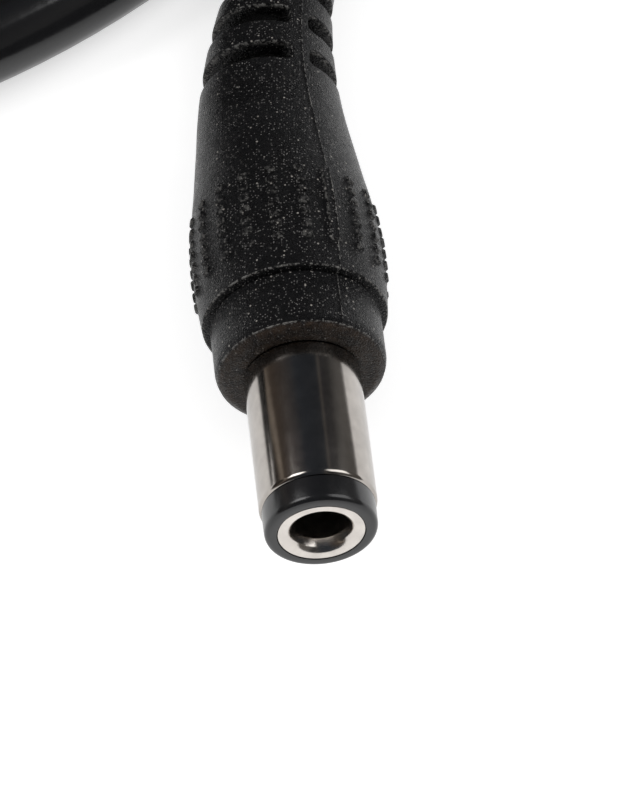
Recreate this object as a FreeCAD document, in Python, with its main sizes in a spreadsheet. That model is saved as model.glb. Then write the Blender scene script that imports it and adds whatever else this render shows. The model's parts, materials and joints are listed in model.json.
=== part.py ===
import FreeCAD, Part
import math
import os
import re

import Sketcher
from FreeCAD import Placement, Rotation, Vector

# Laptop power adapter: a sealed brick with a mains inlet in its -X end, and a low-voltage lead that
# leaves its +X end, lies in a coil in front of it and ends in a round barrel plug.
# Millimetres, +Z up. The origin is the middle of the brick's underside, on the table it stands on.
# Stations along the plug are distances behind its tip.

SIZES = {
    # Clearances
    "fit_gap": 0.15,
    "snug_gap": 0.05,
    # Case
    "wall": 2.2,
    "case_corner": 6.0,
    "case_edge": 2.5,
    "lip_height": 1.5,
    "lip_thickness": 1.0,
    "board_side_gap": 1.3,
    "board_end_gap": 2.8,
    "roof_gap": 0.2,
    # Feet and label
    "foot_height": 1.0,
    "foot_recess": 0.8,
    "foot_diameter": 9.0,
    "foot_inset": 10.0,
    "label_length": 60.0,
    "label_width": 26.0,
    "label_thickness": 0.3,
    # Mains inlet
    "inlet_width": 24.5,
    "inlet_height": 16.5,
    "inlet_cavity_depth": 15.5,
    "inlet_wall": 2.0,
    "inlet_back": 2.5,
    "inlet_bevel": 4.0,
    "inlet_flange_reach": 1.2,
    "inlet_flange_thickness": 1.6,
    "pin_width": 2.0,
    "pin_height": 4.0,
    "pin_spacing": 14.0,
    "earth_pin_rise": 4.0,
    "pin_setback": 2.5,
    "pin_tail": 3.0,
    "mains_wire_radius": 0.6,
    # Circuit board and what holds it
    "post_height": 2.0,
    "post_radius": 2.0,
    "post_inset": 3.0,
    "board_thickness": 1.6,
    "board_width": 41.0,
    "board_margin": 0.6,
    "sheet_thickness": 0.3,
    "spreader_thickness": 0.5,
    "component_room": 20.3,
    "component_gap": 1.5,
    "component_leg_radius": 0.4,
    "component_leg_length": 1.2,
    # Mains side components
    "fuse_diameter": 8.5,
    "fuse_height": 8.0,
    "disc_diameter": 9.0,
    "disc_thickness": 4.0,
    "filter_capacitor_depth": 8.0,
    "filter_capacitor_width": 18.0,
    "filter_capacitor_height": 14.0,
    "choke_diameter": 15.0,
    "choke_hole": 8.0,
    "choke_depth": 6.0,
    "choke_winding": 1.0,
    "choke_opening": 6.0,
    "bridge_thickness": 3.5,
    "bridge_width": 15.0,
    "bridge_height": 11.0,
    "bulk_capacitor_diameter": 18.0,
    "bulk_capacitor_length": 31.0,
    "heatsink_thickness": 1.5,
    "heatsink_width": 16.0,
    "heatsink_height": 18.0,
    "package_width": 10.0,
    "package_thickness": 4.5,
    "package_height": 9.0,
    "package_tab_height": 15.5,
    "package_tab_thickness": 1.3,
    "package_rise": 2.0,
    "package_hole_radius": 1.8,
    "chip_length": 5.0,
    "chip_width": 4.0,
    "chip_height": 1.6,
    # Transformer
    "core_length": 24.0,
    "core_width": 26.0,
    "core_height": 7.0,
    "core_leg": 7.0,
    "core_side_leg": 3.5,
    "core_back": 4.0,
    "core_air_gap": 0.1,
    "bobbin_wall": 0.7,
    "bobbin_flange": 1.0,
    "bobbin_height": 17.6,
    "winding_height": 16.8,
    # Output side components
    "safety_disc_diameter": 6.5,
    "coupler_length": 6.5,
    "coupler_width": 4.6,
    "coupler_height": 3.5,
    "output_capacitor_diameter": 9.0,
    "output_capacitor_height": 18.0,
    "output_choke_diameter": 6.6,
    "output_choke_height": 8.0,
    "output_wire_radius": 0.7,
    "led_diameter": 3.0,
    "led_height": 5.3,
    "led_gap": 0.3,
    # Lead and its strain relief at the case
    "cord_diameter": 4.5,
    "gland_neck_radius": 4.6,
    "gland_flange_radius": 5.6,
    "gland_flange_thickness": 1.8,
    "gland_collar_thickness": 2.0,
    "gland_length": 26.0,
    "gland_root_radius": 4.3,
    "gland_end_radius": 2.75,
    "gland_slot": 1.2,
    "gland_slot_pitch": 2.6,
    "gland_slot_start": 6.0,
    "gland_slot_count": 7,
    "relief_web": 0.95,
    # Coil
    "coil_x": 71.0,
    "coil_y": -81.0,
    "coil_start_radius": 48.29,
    "coil_start_angle": -11.0,
    "coil_gap": 0.55,
    "coil_turns_in": 3.24,
    "coil_turns_out": 1.76,
    "lane_height": 2.3,
    "layer_step": 5.0,
    "tail_run": 5.0,
    "tail_bow": 0.5,
    # Plug, lying on the table with its tip towards -Y and its tail low
    "tip_x": 108.33,
    "tip_y": -150.11,
    "tip_height": 6.1,
    "plug_yaw": 5.76,
    "plug_tilt": 4.5,
    "sleeve_radius": 2.75,
    "sleeve_wall": 0.35,
    "sleeve_start": 1.38,
    "sleeve_edge": 0.1,
    "sleeve_groove_depth": 0.17,
    "ring_radius": 2.647,
    "ring_edge": 0.2,
    "ring_draft": 0.02,
    "contact_flange_radius": 2.07,
    "contact_flange_length": 0.8,
    "contact_radius": 1.75,
    "contact_bore_radius": 1.25,
    "contact_mouth_radius": 1.65,
    "contact_mouth_depth": 0.65,
    "contact_bore_end": 8.5,
    "contact_end": 10.0,
    "contact_tail_radius": 0.8,
    "contact_tail_end": 15.0,
    "core_radius": 3.25,
    "collar_start": 10.0,
    "collar_end": 12.8,
    "mould_end": 19.5,
    "plug_wire_radius": 0.7,
    "plug_wire_space_radius": 1.8,
    "plug_wire_end": 22.0,
    # Grip outside
    "nose_start": 9.08,
    "nose_radius": 4.03,
    "nose_edge": 0.58,
    "groove_start": 12.08,
    "groove_width": 0.22,
    "groove_depth": 0.22,
    "barrel_start": 12.4,
    "barrel_start_radius": 4.38,
    "barrel_end": 19.8,
    "barrel_end_radius": 4.13,
    "barrel_curve": 27.0,
    "bend_start": 22.97,
    "bend_start_radius": 3.7,
    "bend_curve": 35.4,
    "tight_start": 32.2,
    "tight_start_radius": 2.64,
    "tight_curve": 18.0,
    "relief_end": 38.4,
    "relief_end_radius": 2.42,
    "relief_slot": 1.1,
    "relief_slot_pitch": 2.52,
    "relief_slot_start": 25.78,
    "relief_slot_count": 5,
    "parting_angle": 28.3,
    "bump_rows": 20,
    "bumps_in_row": 7,
    "bump_start": 13.8,
    "bump_pitch": 0.68,
    "bump_length": 0.46,
    "bump_width": 0.5,
    "bump_rise": 0.2,
    "key_bar_width": 0.6,
}

# Places worked out from the sizes, in the order in which they build on each other.
PLACES = {
    "cord_radius": "cord_diameter / 2",
    "inlet_depth": "inlet_cavity_depth + inlet_back",
    "choke_sleeve": "choke_winding + snug_gap",
    "choke_outer_diameter": "choke_diameter + 2 * choke_sleeve",
    "choke_outer_depth": "choke_depth + 2 * choke_sleeve",
    "package_row": "heatsink_thickness + snug_gap + package_thickness",
    "board_length": "2 * board_margin + fuse_diameter + choke_outer_depth + package_row"
                    " + bulk_capacitor_diameter + core_length + output_capacitor_diameter"
                    " + 5 * component_gap",
    "case_length": "inlet_depth + pin_tail + board_length + board_end_gap + wall",
    "case_width": "board_width + 2 * board_side_gap + 2 * wall",
    "case_height": "2 * wall + post_height + board_thickness + component_room"
                   " + spreader_thickness + roof_gap",
    "inner_length": "case_length - 2 * wall",
    "inner_width": "case_width - 2 * wall",
    "inner_height": "case_height - 2 * wall",
    "split": "foot_height + case_height / 2",
    "case_floor": "foot_height + wall",
    "case_roof": "foot_height + case_height",
    "board_start": "inlet_depth + pin_tail - case_length / 2",
    "board_end": "board_start + board_length",
    "board_under": "case_floor + post_height",
    "board_top": "board_under + board_thickness",
    "fuse_row": "board_start + board_margin + fuse_diameter / 2",
    "filter_row": "fuse_row + fuse_diameter / 2 + component_gap + choke_outer_depth / 2",
    "switch_row": "filter_row + choke_outer_depth / 2 + component_gap",
    "bulk_row": "switch_row + package_row + component_gap + bulk_capacitor_diameter / 2",
    "transformer_row": "bulk_row + bulk_capacitor_diameter / 2 + component_gap + core_length / 2",
    "output_row": "transformer_row + core_length / 2 + component_gap",
    "edge_row": "board_width / 2 - board_margin",
    "transformer_height": "board_top + bobbin_height / 2",
    "inlet_body_width": "inlet_width + 2 * inlet_wall",
    "inlet_body_height": "inlet_height + 2 * inlet_wall",
    "live_pin_height": "split - earth_pin_rise / 2 - pin_height / 2",
    "pin_length": "inlet_depth - pin_setback + pin_tail",
    "inlet_rear": "inlet_depth - case_length / 2",
    "led_x": "board_end - led_diameter / 2 - fit_gap",
    "led_y": "-edge_row + led_diameter",
    "spreader_under": "board_top + component_room",
    "spreader_length": "board_length - 2 * (case_corner - wall - board_end_gap)",
    "gland_rear": "wall + fit_gap + gland_flange_thickness",
    "gland_tip": "case_length / 2 + gland_length",
    "sleeve_bore": "sleeve_radius - sleeve_wall",
    "sleeve_groove_radius": "sleeve_radius - sleeve_groove_depth",
    "sleeve_groove_start": "nose_start - 2 * snug_gap",
    "insulator_radius": "sleeve_bore - snug_gap",
    "mould_start": "collar_end + 2 * fit_gap",
    "mould_room_end": "mould_end + snug_gap",
}

doc = FreeCAD.newDocument("laptop_power_adapter")
sheet = doc.addObject("Spreadsheet::Sheet", "sizes")
for line, (alias, amount) in enumerate(SIZES.items(), start=1):
    sheet.set(f"A{line}", alias)
    sheet.set(f"B{line}", str(amount))
    sheet.setAlias(f"B{line}", alias)
places = doc.addObject("App::VarSet", "places")


def expand(text):
    """Put sizes. or places. before each of their names in an expression."""
    def owner(match):
        word = match.group(0)
        if word in SIZES:
            return "sizes." + word
        return "places." + word if word in PLACES else word
    return re.sub(r"[a-z_]+", owner, str(text))


for place, rule in PLACES.items():
    places.addProperty("App::PropertyFloat", place)
    places.setExpression(place, expand(rule))
doc.recompute()


def value(text):
    """The number that an expression gives."""
    return float(places.evalExpression(expand(text)))


# Ways of making a piece
ALONG = {"x": Rotation(Vector(0, 1, 0), 90), "y": Rotation(Vector(1, 0, 0), -90), "z": Rotation()}


def put(piece, at):
    """Bind the place of a piece's own origin."""
    for axis, distance in zip("xyz", at):
        piece.setExpression(f"Placement.Base.{axis}", expand(distance))
    return piece


def block(name, size, at):
    """A box, placed by the middle of its underside."""
    box = doc.addObject("Part::Box", name)
    for side, length in zip(("Length", "Width", "Height"), size):
        box.setExpression(side, expand(length))
    return put(box, (f"{at[0]} - ({size[0]}) / 2", f"{at[1]} - ({size[1]}) / 2", at[2]))


def rod(name, radius, length, at, along="z"):
    """A cylinder, placed by the middle of its first end."""
    cylinder = doc.addObject("Part::Cylinder", name)
    cylinder.setExpression("Radius", expand(radius))
    cylinder.setExpression("Height", expand(length))
    cylinder.Placement = Placement(Vector(), ALONG[along])
    return put(cylinder, at)


def join(name, pieces):
    """One solid from pieces that touch."""
    fused = doc.addObject("Part::MultiFuse", name)
    fused.Shapes = pieces
    fused.Refine = True
    return fused


def cut(name, base, tool):
    """A piece with another one's space taken out of it."""
    result = doc.addObject("Part::Cut", name)
    result.Base = base
    result.Tool = tool
    return result


def common(name, base, tool):
    """What two pieces share."""
    result = doc.addObject("Part::Common", name)
    result.Base = base
    result.Tool = tool
    return result


def group(name, pieces):
    """Separate solids under one name."""
    compound = doc.addObject("Part::Compound", name)
    compound.Links = pieces
    return compound


def modelled(name, shape, placement=None):
    """A piece whose shape is worked out in code."""
    feature = doc.addObject("Part::Feature", name)
    feature.Shape = shape
    feature.Placement = placement or Placement()
    return feature


def origin_plane(body, role):
    """One of a body's own three planes."""
    return [feature for feature in body.Origin.OriginFeatures if feature.Role == role][0]


def bulged(start, end, radius):
    """The arc of a radius from start to end that bulges to the right of the way there."""
    chord = end - start
    rise = radius - math.sqrt(radius ** 2 - (chord.Length / 2) ** 2)
    outward = Vector(chord.y, -chord.x, 0).normalize()
    return Part.Arc(start, (start + end) / 2 + outward * rise, end)


def outline(body, role, points):
    """A closed sketch, its corners anticlockwise; a third entry makes the next edge a bulged arc."""
    sketch = body.newObject("Sketcher::SketchObject", body.Name + "_outline")
    sketch.AttachmentSupport = (origin_plane(body, role), [""])
    sketch.MapMode = "FlatFace"
    corners = [Vector(value(point[0]), value(point[1]), 0) for point in points]
    for point, start, end in zip(points, corners, corners[1:] + corners[:1]):
        edge = bulged(start, end, value(point[2])) if len(point) > 2 else Part.LineSegment(start, end)
        sketch.addGeometry(edge, False)
    for index, point in enumerate(points):
        before = (index - 1) % len(points)
        sketch.addConstraint(Sketcher.Constraint("Coincident", before, 2, index, 1))
        for kind, text in zip(("DistanceX", "DistanceY"), point):
            bind(sketch, Sketcher.Constraint(kind, -1, 1, index, 1, value(text)), text)
        if len(point) > 2:
            bind(sketch, Sketcher.Constraint("Radius", index, value(point[2])), point[2])
    return sketch


def bind(sketch, constraint, text):
    """Add a constraint whose value follows an expression."""
    number = sketch.addConstraint(constraint)
    sketch.setExpression(f"Constraints[{number}]", expand(text))


def turned(name, points):
    """A piece turned about its own Z axis, from (radius, station) corners."""
    body = doc.addObject("PartDesign::Body", name)
    sketch = outline(body, "XZ_Plane", points)
    revolution = body.newObject("PartDesign::Revolution", name + "_turned")
    revolution.Profile = sketch
    revolution.ReferenceAxis = (sketch, ["V_Axis"])
    revolution.Angle = 360
    return body


def rounded_edges(body, base, chosen, radius):
    """Round the edges of a feature that pass a test."""
    fillet = body.newObject("PartDesign::Fillet", f"{body.Name}_rounded_{len(body.Group)}")
    fillet.Base = (base, [f"Edge{i + 1}" for i, edge in enumerate(base.Shape.Edges) if chosen(edge)])
    fillet.setExpression("Radius", expand(radius))
    doc.recompute()
    return fillet


def moulded(name, size, at, corner, edge=None):
    """A block with rounded upright corners and, if asked, rounded level edges."""
    body = doc.addObject("PartDesign::Body", name)
    x, y = f"({size[0]}) / 2", f"({size[1]}) / 2"
    points = [(f"-{x}", f"-{y}"), (x, f"-{y}"), (x, y), (f"-{x}", y)]
    pad = body.newObject("PartDesign::Pad", name + "_pad")
    pad.Profile = outline(body, "XY_Plane", points)
    pad.setExpression("Length", expand(size[2]))
    doc.recompute()
    last = rounded_edges(body, pad, lambda e: abs(e.tangentAt(e.FirstParameter).z) > 0.99, corner)
    if edge:
        rounded_edges(body, last, lambda e: e.BoundBox.ZLength < 1e-6, edge)
    return put(body, at)


def ring(name, outer, inner, length, at, along):
    """A plain tube."""
    return cut(name, rod(name + "_outside", outer, length, at, along),
               rod(name + "_hole", inner, length, at, along))


NODES = []


def node(piece, label):
    """Hand a finished piece over under the name that its file takes."""
    piece.Label = label
    NODES.append(piece)


# Spots shared by the case and by what stands on it
FOOT_SPOTS = [(f"{a} * (case_length / 2 - foot_inset)", f"{b} * (case_width / 2 - foot_inset)")
              for a in (-1, 1) for b in (-1, 1)]
POST_SPOTS = [(x, f"{side} * (board_width / 2 - post_inset)")
              for x in ("board_start + post_inset", "board_end - post_inset") for side in (-1, 1)]


# Case: an upper and a lower shell that meet at half height, with a lip inside the joint
def case_shells():
    outside = moulded("case_outside", ("case_length", "case_width", "case_height"),
                      ("0", "0", "foot_height"), "case_corner", "case_edge")
    inside = moulded("case_inside", ("inner_length", "inner_width", "inner_height"),
                     ("0", "0", "case_floor"), "case_corner - wall")
    hollow = cut("case_hollow", outside, inside)
    half = ("case_length + wall", "case_width + wall", "case_height / 2")
    lower = common("case_lower_half", hollow, block("lower_space", half, ("0", "0", "foot_height")))
    upper = common("case_upper_half", hollow, block("upper_space", half, ("0", "0", "split")))
    end_openings = join("end_openings", [
        block("inlet_opening", ("2 * wall", "inlet_body_width + 2 * fit_gap",
                                "inlet_body_height + 2 * fit_gap"),
              ("(wall - case_length) / 2", "0", "split - inlet_body_height / 2 - fit_gap")),
        rod("gland_opening", "gland_neck_radius + fit_gap", "2 * wall",
            ("case_length / 2 - 1.5 * wall", "0", "split"), "x")])

    lip = cut("lip", moulded("lip_outside", ("inner_length + 2 * lip_thickness",
                                             "inner_width + 2 * lip_thickness", "lip_height"),
                             ("0", "0", "split"), "case_corner - wall + lip_thickness"), inside)
    posts = [rod(f"post_{i}", "post_radius", "post_height + snug_gap", (x, y, "case_floor - snug_gap"))
             for i, (x, y) in enumerate(POST_SPOTS)]
    recesses = [rod(f"foot_recess_{i}", "foot_diameter / 2 + fit_gap", "foot_recess", (x, y, "foot_height"))
                for i, (x, y) in enumerate(FOOT_SPOTS)]
    recesses.append(block("label_recess", ("label_length + 2 * fit_gap", "label_width + 2 * fit_gap",
                                           "label_thickness"), ("0", "0", "foot_height")))
    bottom = cut("bottom_with_recesses", join("bottom_with_posts", [lower, lip] + posts),
                 join("underside_recesses", recesses))
    node(cut("case_bottom", bottom, end_openings), "case_bottom_shell")

    rebate = moulded("lip_rebate", ("inner_length + 2 * lip_thickness + 2 * fit_gap",
                                    "inner_width + 2 * lip_thickness + 2 * fit_gap", "lip_height + fit_gap"),
                     ("0", "0", "split"), "case_corner - wall + lip_thickness + fit_gap")
    pipe_hole = rod("pipe_hole", "led_diameter / 2 + snug_gap", "2 * wall",
                    ("led_x", "led_y", "case_roof - 1.5 * wall"))
    top = cut("top_with_rebate", upper, rebate)
    node(cut("case_top", top, join("top_openings", [end_openings, pipe_hole])), "case_top_shell")


def feet_and_label():
    feet = [rod(f"foot_{i}", "foot_diameter / 2", "foot_height + foot_recess", (x, y, "0"))
            for i, (x, y) in enumerate(FOOT_SPOTS)]
    node(group("feet", feet), "rubber_feet")
    node(block("label", ("label_length", "label_width", "label_thickness"), ("0", "0", "foot_height")),
         "blank_label")


# Mains inlet: a socket with line, neutral and earth pins, its upper two corners bevelled
def mains_inlet():
    middle = "inlet_depth / 2 - case_length / 2"
    under = "split - inlet_body_height / 2"
    shell = block("inlet_block", ("inlet_depth", "inlet_body_width", "inlet_body_height"),
                  (middle, "0", under))
    flange = block("inlet_flange", ("inlet_flange_thickness", "inlet_body_width + 2 * inlet_flange_reach",
                                    "inlet_body_height + 2 * inlet_flange_reach"),
                   ("wall + fit_gap + inlet_flange_thickness / 2 - case_length / 2", "0",
                    f"{under} - inlet_flange_reach"))
    cavity = doc.addObject("PartDesign::Body", "inlet_cavity")
    side, low, high = "inlet_width / 2", "-inlet_height / 2", "inlet_height / 2"
    mouth = outline(cavity, "YZ_Plane", [
        (f"-{side}", low), (side, low), (side, f"{high} - inlet_bevel"), (f"{side} - inlet_bevel", high),
        (f"inlet_bevel - {side}", high), (f"-{side}", f"{high} - inlet_bevel")])
    pad = cavity.newObject("PartDesign::Pad", "inlet_cavity_pad")
    pad.Profile = mouth
    pad.setExpression("Length", expand("inlet_cavity_depth"))
    put(cavity, ("-case_length / 2", "0", "split"))

    pins = {}
    for name, y, z in (("inlet_line_pin", "pin_spacing / 2", "live_pin_height"),
                       ("inlet_neutral_pin", "-pin_spacing / 2", "live_pin_height"),
                       ("inlet_earth_pin", "0", "live_pin_height + earth_pin_rise")):
        at = ("pin_setback + pin_length / 2 - case_length / 2", y, z)
        pins[name] = moulded(name + "_blade", ("pin_length", "pin_width", "pin_height"), at, "pin_width / 4")
        node(pins[name], name)
    body = cut("inlet_with_cavity", join("inlet_with_flange", [shell, flange]), cavity)
    node(cut("inlet", body, join("pin_slots", list(pins.values()))), "inlet_body")


# Circuit board, and the sheets below and above it
def board_and_sheets():
    middle = "board_start + board_length / 2"
    node(block("board", ("board_length", "board_width", "board_thickness"), (middle, "0", "board_under")),
         "circuit_board")
    sheet_piece = block("sheet", ("board_length", "board_width", "sheet_thickness"),
                        (middle, "0", "case_floor"))
    holes = [rod(f"sheet_hole_{i}", "post_radius + fit_gap", "post_height", (x, y, "case_floor - snug_gap"))
             for i, (x, y) in enumerate(POST_SPOTS)]
    node(cut("sheet_with_holes", sheet_piece, join("sheet_holes", holes)), "insulation_sheet")
    reach = "inner_width - 2 * fit_gap"
    roof = block("spreader_roof", ("spreader_length", reach, "spreader_thickness"),
                 (middle, "0", "spreader_under"))
    sides = [block(f"spreader_side_{i}", ("spreader_length", "spreader_thickness", "component_room"),
                   (middle, f"{sign} * (inner_width / 2 - fit_gap - spreader_thickness / 2)", "board_top"))
             for i, sign in enumerate((-1, 1))]
    hole = rod("spreader_hole", "led_diameter / 2 + fit_gap", "2 * spreader_thickness",
               ("led_x", "led_y", "spreader_under - spreader_thickness / 2"))
    node(cut("spreader", join("spreader_folded", [roof] + sides), hole), "heat_spreader")


def disc_with_legs(name, diameter, x, y, label):
    """A disc that stands on edge on two legs."""
    body = rod(name + "_disc", f"{diameter} / 2", "disc_thickness",
               (f"{x} - disc_thickness / 2", y, f"board_top + component_leg_length + {diameter} / 2"), "x")
    legs = [rod(f"{name}_leg_{i}", "component_leg_radius", f"component_leg_length + {diameter} / 2",
                (x, f"{y} + {sign} * {diameter} / 4", "board_top")) for i, sign in enumerate((-1, 1))]
    node(join(name, [body] + legs), label)


# Mains side: fuse, surge and inrush discs, filter, bridge, bulk capacitor
def mains_side():
    node(rod("fuse_can", "fuse_diameter / 2", "fuse_height",
             ("fuse_row", "fuse_diameter / 2 - edge_row", "board_top")), "fuse")
    disc_with_legs("surge_disc", "disc_diameter", "fuse_row", "0", "varistor")
    disc_with_legs("inrush_disc", "disc_diameter", "fuse_row", "edge_row - disc_diameter / 2", "thermistor")
    box = ("filter_capacitor_depth", "filter_capacitor_width", "filter_capacitor_height")
    at = ("filter_row", "filter_capacitor_width / 2 - edge_row", "board_top")
    node(moulded("filter_box", box, at, "component_leg_radius"), "mains_filter_capacitor")

    lean = "sqrt(choke_outer_diameter * choke_outer_diameter - choke_opening * choke_opening) / 2"
    at = ("filter_row - choke_depth / 2", "edge_row - choke_outer_diameter / 2", f"board_top + {lean}")
    core = ring("choke_ring", "choke_diameter / 2", "choke_hole / 2", "choke_depth", at, "x")
    node(core, "choke_core")
    start = ("filter_row - choke_outer_depth / 2", at[1], at[2])
    skin = ring("choke_skin", "choke_outer_diameter / 2", "choke_hole / 2 - choke_sleeve",
                "choke_outer_depth", start, "x")
    room = ring("choke_room", "choke_diameter / 2 + snug_gap", "choke_hole / 2 - snug_gap",
                "choke_depth + 2 * snug_gap", ("filter_row - choke_depth / 2 - snug_gap", at[1], at[2]), "x")
    parting = block("choke_parting", ("2 * choke_outer_depth", "choke_opening", "2 * choke_outer_diameter"),
                    ("filter_row", at[1], f"{at[2]} - choke_outer_diameter"))
    node(cut("choke_halves", cut("choke_sleeve_ring", skin, room), parting), "choke_windings")

    x, y = "switch_row + bridge_thickness / 2", "edge_row - bridge_width / 2"
    body = block("bridge_body", ("bridge_thickness", "bridge_width", "bridge_height"),
                 (x, y, "board_top + component_leg_length"))
    legs = [rod(f"bridge_leg_{i}", "component_leg_radius", "2 * component_leg_length",
                (x, f"{y} + {step} * bridge_width / 4", "board_top"))
            for i, step in enumerate((-1.5, -0.5, 0.5, 1.5))]
    node(join("bridge", [body] + legs), "bridge_rectifier")
    node(rod("bulk_can", "bulk_capacitor_diameter / 2", "bulk_capacitor_length",
             ("bulk_row", "-bulk_capacitor_length / 2", "board_top + bulk_capacitor_diameter / 2"), "y"),
         "bulk_capacitor")
    node(block("chip", ("chip_length", "chip_width", "chip_height"),
               ("transformer_row", "edge_row - chip_width / 2", "board_top")), "controller_chip")


def cooled_package(name, x, heatsink_label, package_label):
    """An upright cooling plate, and a power package clipped against its +X face."""
    y = "heatsink_width / 2 - edge_row"
    node(block(name + "_plate", ("heatsink_thickness", "heatsink_width", "heatsink_height"),
               (f"{x} + heatsink_thickness / 2", y, "board_top")), heatsink_label)
    face = f"{x} + heatsink_thickness + snug_gap"
    foot = "board_top + package_rise"
    tab = block(name + "_tab", ("package_tab_thickness", "package_width", "package_tab_height"),
                (f"{face} + package_tab_thickness / 2", y, foot))
    body = block(name + "_body", ("package_thickness", "package_width", "package_height"),
                 (f"{face} + package_thickness / 2", y, foot))
    legs = [block(f"{name}_leg_{i}", ("component_leg_radius", "2 * component_leg_radius", "package_rise"),
                  (f"{face} + package_thickness / 2", f"{y} + {step} * package_width / 4", "board_top"))
            for i, step in enumerate((-1, 0, 1))]
    hole = rod(name + "_hole", "package_hole_radius", "2 * package_tab_thickness",
               (f"{face} - package_tab_thickness / 2", y,
                f"{foot} + (package_height + package_tab_height) / 2"), "x")
    node(cut(name, join(name + "_whole", [tab, body] + legs), hole), package_label)


# Transformer: two E-shaped halves round a bobbin, its winding axis along X
def transformer():
    halves = []
    for sign, name in ((-1, "near"), (1, "far")):
        length = "(core_length - core_air_gap) / 2"
        middle = f"transformer_row + {sign} * (core_length + core_air_gap) / 4"
        slab = block(f"core_{name}", (length, "core_width", "core_height"),
                     (middle, "0", "transformer_height - core_height / 2"))
        room = "core_width / 2 - core_leg / 2 - core_side_leg"
        windows = [block(f"window_{name}_{i}", ("core_length - 2 * core_back", room, "2 * core_height"),
                         ("transformer_row", f"{side} * (core_leg / 2 + ({room}) / 2)",
                          "transformer_height - core_height"))
                   for i, side in enumerate((-1, 1))]
        halves.append(cut(f"core_half_{name}", slab, join(f"windows_{name}", windows)))
    node(group("core_halves", halves), "transformer_core")

    length = "core_length - 2 * core_back - 2 * snug_gap"
    bore = "core_leg + 2 * fit_gap"
    spool = f"{bore} + 2 * bobbin_wall"
    flange_width = "core_width - 2 * core_side_leg - 2 * fit_gap"
    tube = block("bobbin_tube", (length, spool, spool),
                 ("transformer_row", "0", f"transformer_height - ({spool}) / 2"))
    flanges = [block(f"bobbin_flange_{i}", ("bobbin_flange", flange_width, "bobbin_height"),
                     (f"transformer_row + {sign} * (({length}) - bobbin_flange) / 2", "0", "board_top"))
               for i, sign in enumerate((-1, 1))]
    hole = block("bobbin_bore", ("core_length", bore, bore),
                 ("transformer_row", "0", f"transformer_height - ({bore}) / 2"))
    node(cut("bobbin", join("bobbin_solid", [tube] + flanges), hole), "transformer_bobbin")

    wound = f"({length}) - 2 * bobbin_flange - 2 * snug_gap"
    coil = block("winding_block", (wound, f"({flange_width}) - 2 * fit_gap", "winding_height"),
                 ("transformer_row", "0", "transformer_height - winding_height / 2"))
    room = block("winding_bore", ("core_length", f"{spool} + 2 * snug_gap", f"{spool} + 2 * snug_gap"),
                 ("transformer_row", "0", f"transformer_height - ({spool}) / 2 - snug_gap"))
    node(cut("winding", coil, room), "transformer_windings")
    top = "transformer_height + winding_height / 2"
    node(block("pad", (wound, "winding_height / 2", f"spreader_under - ({top})"),
               ("transformer_row", "0", top)), "thermal_pad")


# Output side: safety disc, coupler, capacitors, choke, indicator
def output_side():
    corner = "transformer_row - core_length / 2"
    disc_with_legs("safety_disc", "safety_disc_diameter", f"{corner} + disc_thickness / 2",
                   "safety_disc_diameter / 2 - edge_row", "safety_capacitor")
    at = (f"{corner} + coupler_width / 2", "edge_row - coupler_length / 2", "board_top")
    node(block("coupler", ("coupler_width", "coupler_length", "coupler_height"), at), "optocoupler")
    drum = "output_choke_diameter / 2"
    at = (f"output_row - component_gap - {drum}", f"edge_row - {drum}", "board_top")
    node(rod("filter_drum", drum, "output_choke_height", at), "output_choke")
    cans = [rod(f"output_can_{i}", "output_capacitor_diameter / 2", "output_capacitor_height",
                ("output_row + output_capacitor_diameter / 2",
                 f"edge_row - {i + 0.5} * output_capacitor_diameter - {i} * component_gap / 2", "board_top"))
            for i in range(2)]
    node(group("output_cans", cans), "output_capacitors")
    node(rod("led", "led_diameter / 2", "led_height", ("led_x", "led_y", "board_top")), "status_led")
    start = "board_top + led_height + led_gap"
    node(rod("pipe", "led_diameter / 2", f"case_roof - ({start})", ("led_x", "led_y", start)), "light_pipe")


# Routes and tubes
def tangent_arc(start, along, end):
    """The circular arc that leaves start along a direction and reaches end."""
    chord = end - start
    across = along - chord * (along.dot(chord) / chord.dot(chord))
    if across.Length < 1e-7:
        return Part.LineSegment(start, end).toShape()
    rise = chord.Length / 2 * math.tan(along.getAngle(chord) / 2)
    return Part.Arc(start, (start + end) / 2 + across.normalize() * rise, end).toShape()


def rounded_route(name, points):
    """Straight runs joined by tangent arcs, each arc as large as its two runs allow."""
    edges = []
    radii = []
    last = points[0]
    for before, corner, after in zip(points, points[1:], points[2:]):
        reach = 0.45 * min((corner - before).Length, (after - corner).Length)
        along = (corner - before).normalize()
        radii.append(reach / math.tan(along.getAngle(after - corner) / 2))
        first = corner - along * reach
        second = corner + (after - corner).normalize() * reach
        edges.append(Part.LineSegment(last, first).toShape())
        edges.append(tangent_arc(first, along, second))
        last = second
    edges.append(Part.LineSegment(last, points[-1]).toShape())
    print(name, "radii", [round(radius, 1) for radius in radii])
    return Part.Wire(edges)


def tube(name, route, radius):
    """A round tube along a route, its volume compared with section times length."""
    first = route.Edges[0]
    start = first.valueAt(first.FirstParameter)
    section = Part.Wire(Part.Circle(start, first.tangentAt(first.FirstParameter), radius).toShape())
    solid = route.makePipeShell([section], True, False)
    wanted = math.pi * radius ** 2 * route.Length
    print(name, "length", round(route.Length, 1), "volume ratio", round(solid.Volume / wanted, 5))
    return solid


def wires(name, routes, radius, label):
    """A group of thin insulated wires."""
    pieces = [modelled(f"{name}_{i}", tube(name, rounded_route(name, points), radius))
              for i, points in enumerate(routes)]
    node(group(name, pieces), label)


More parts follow.
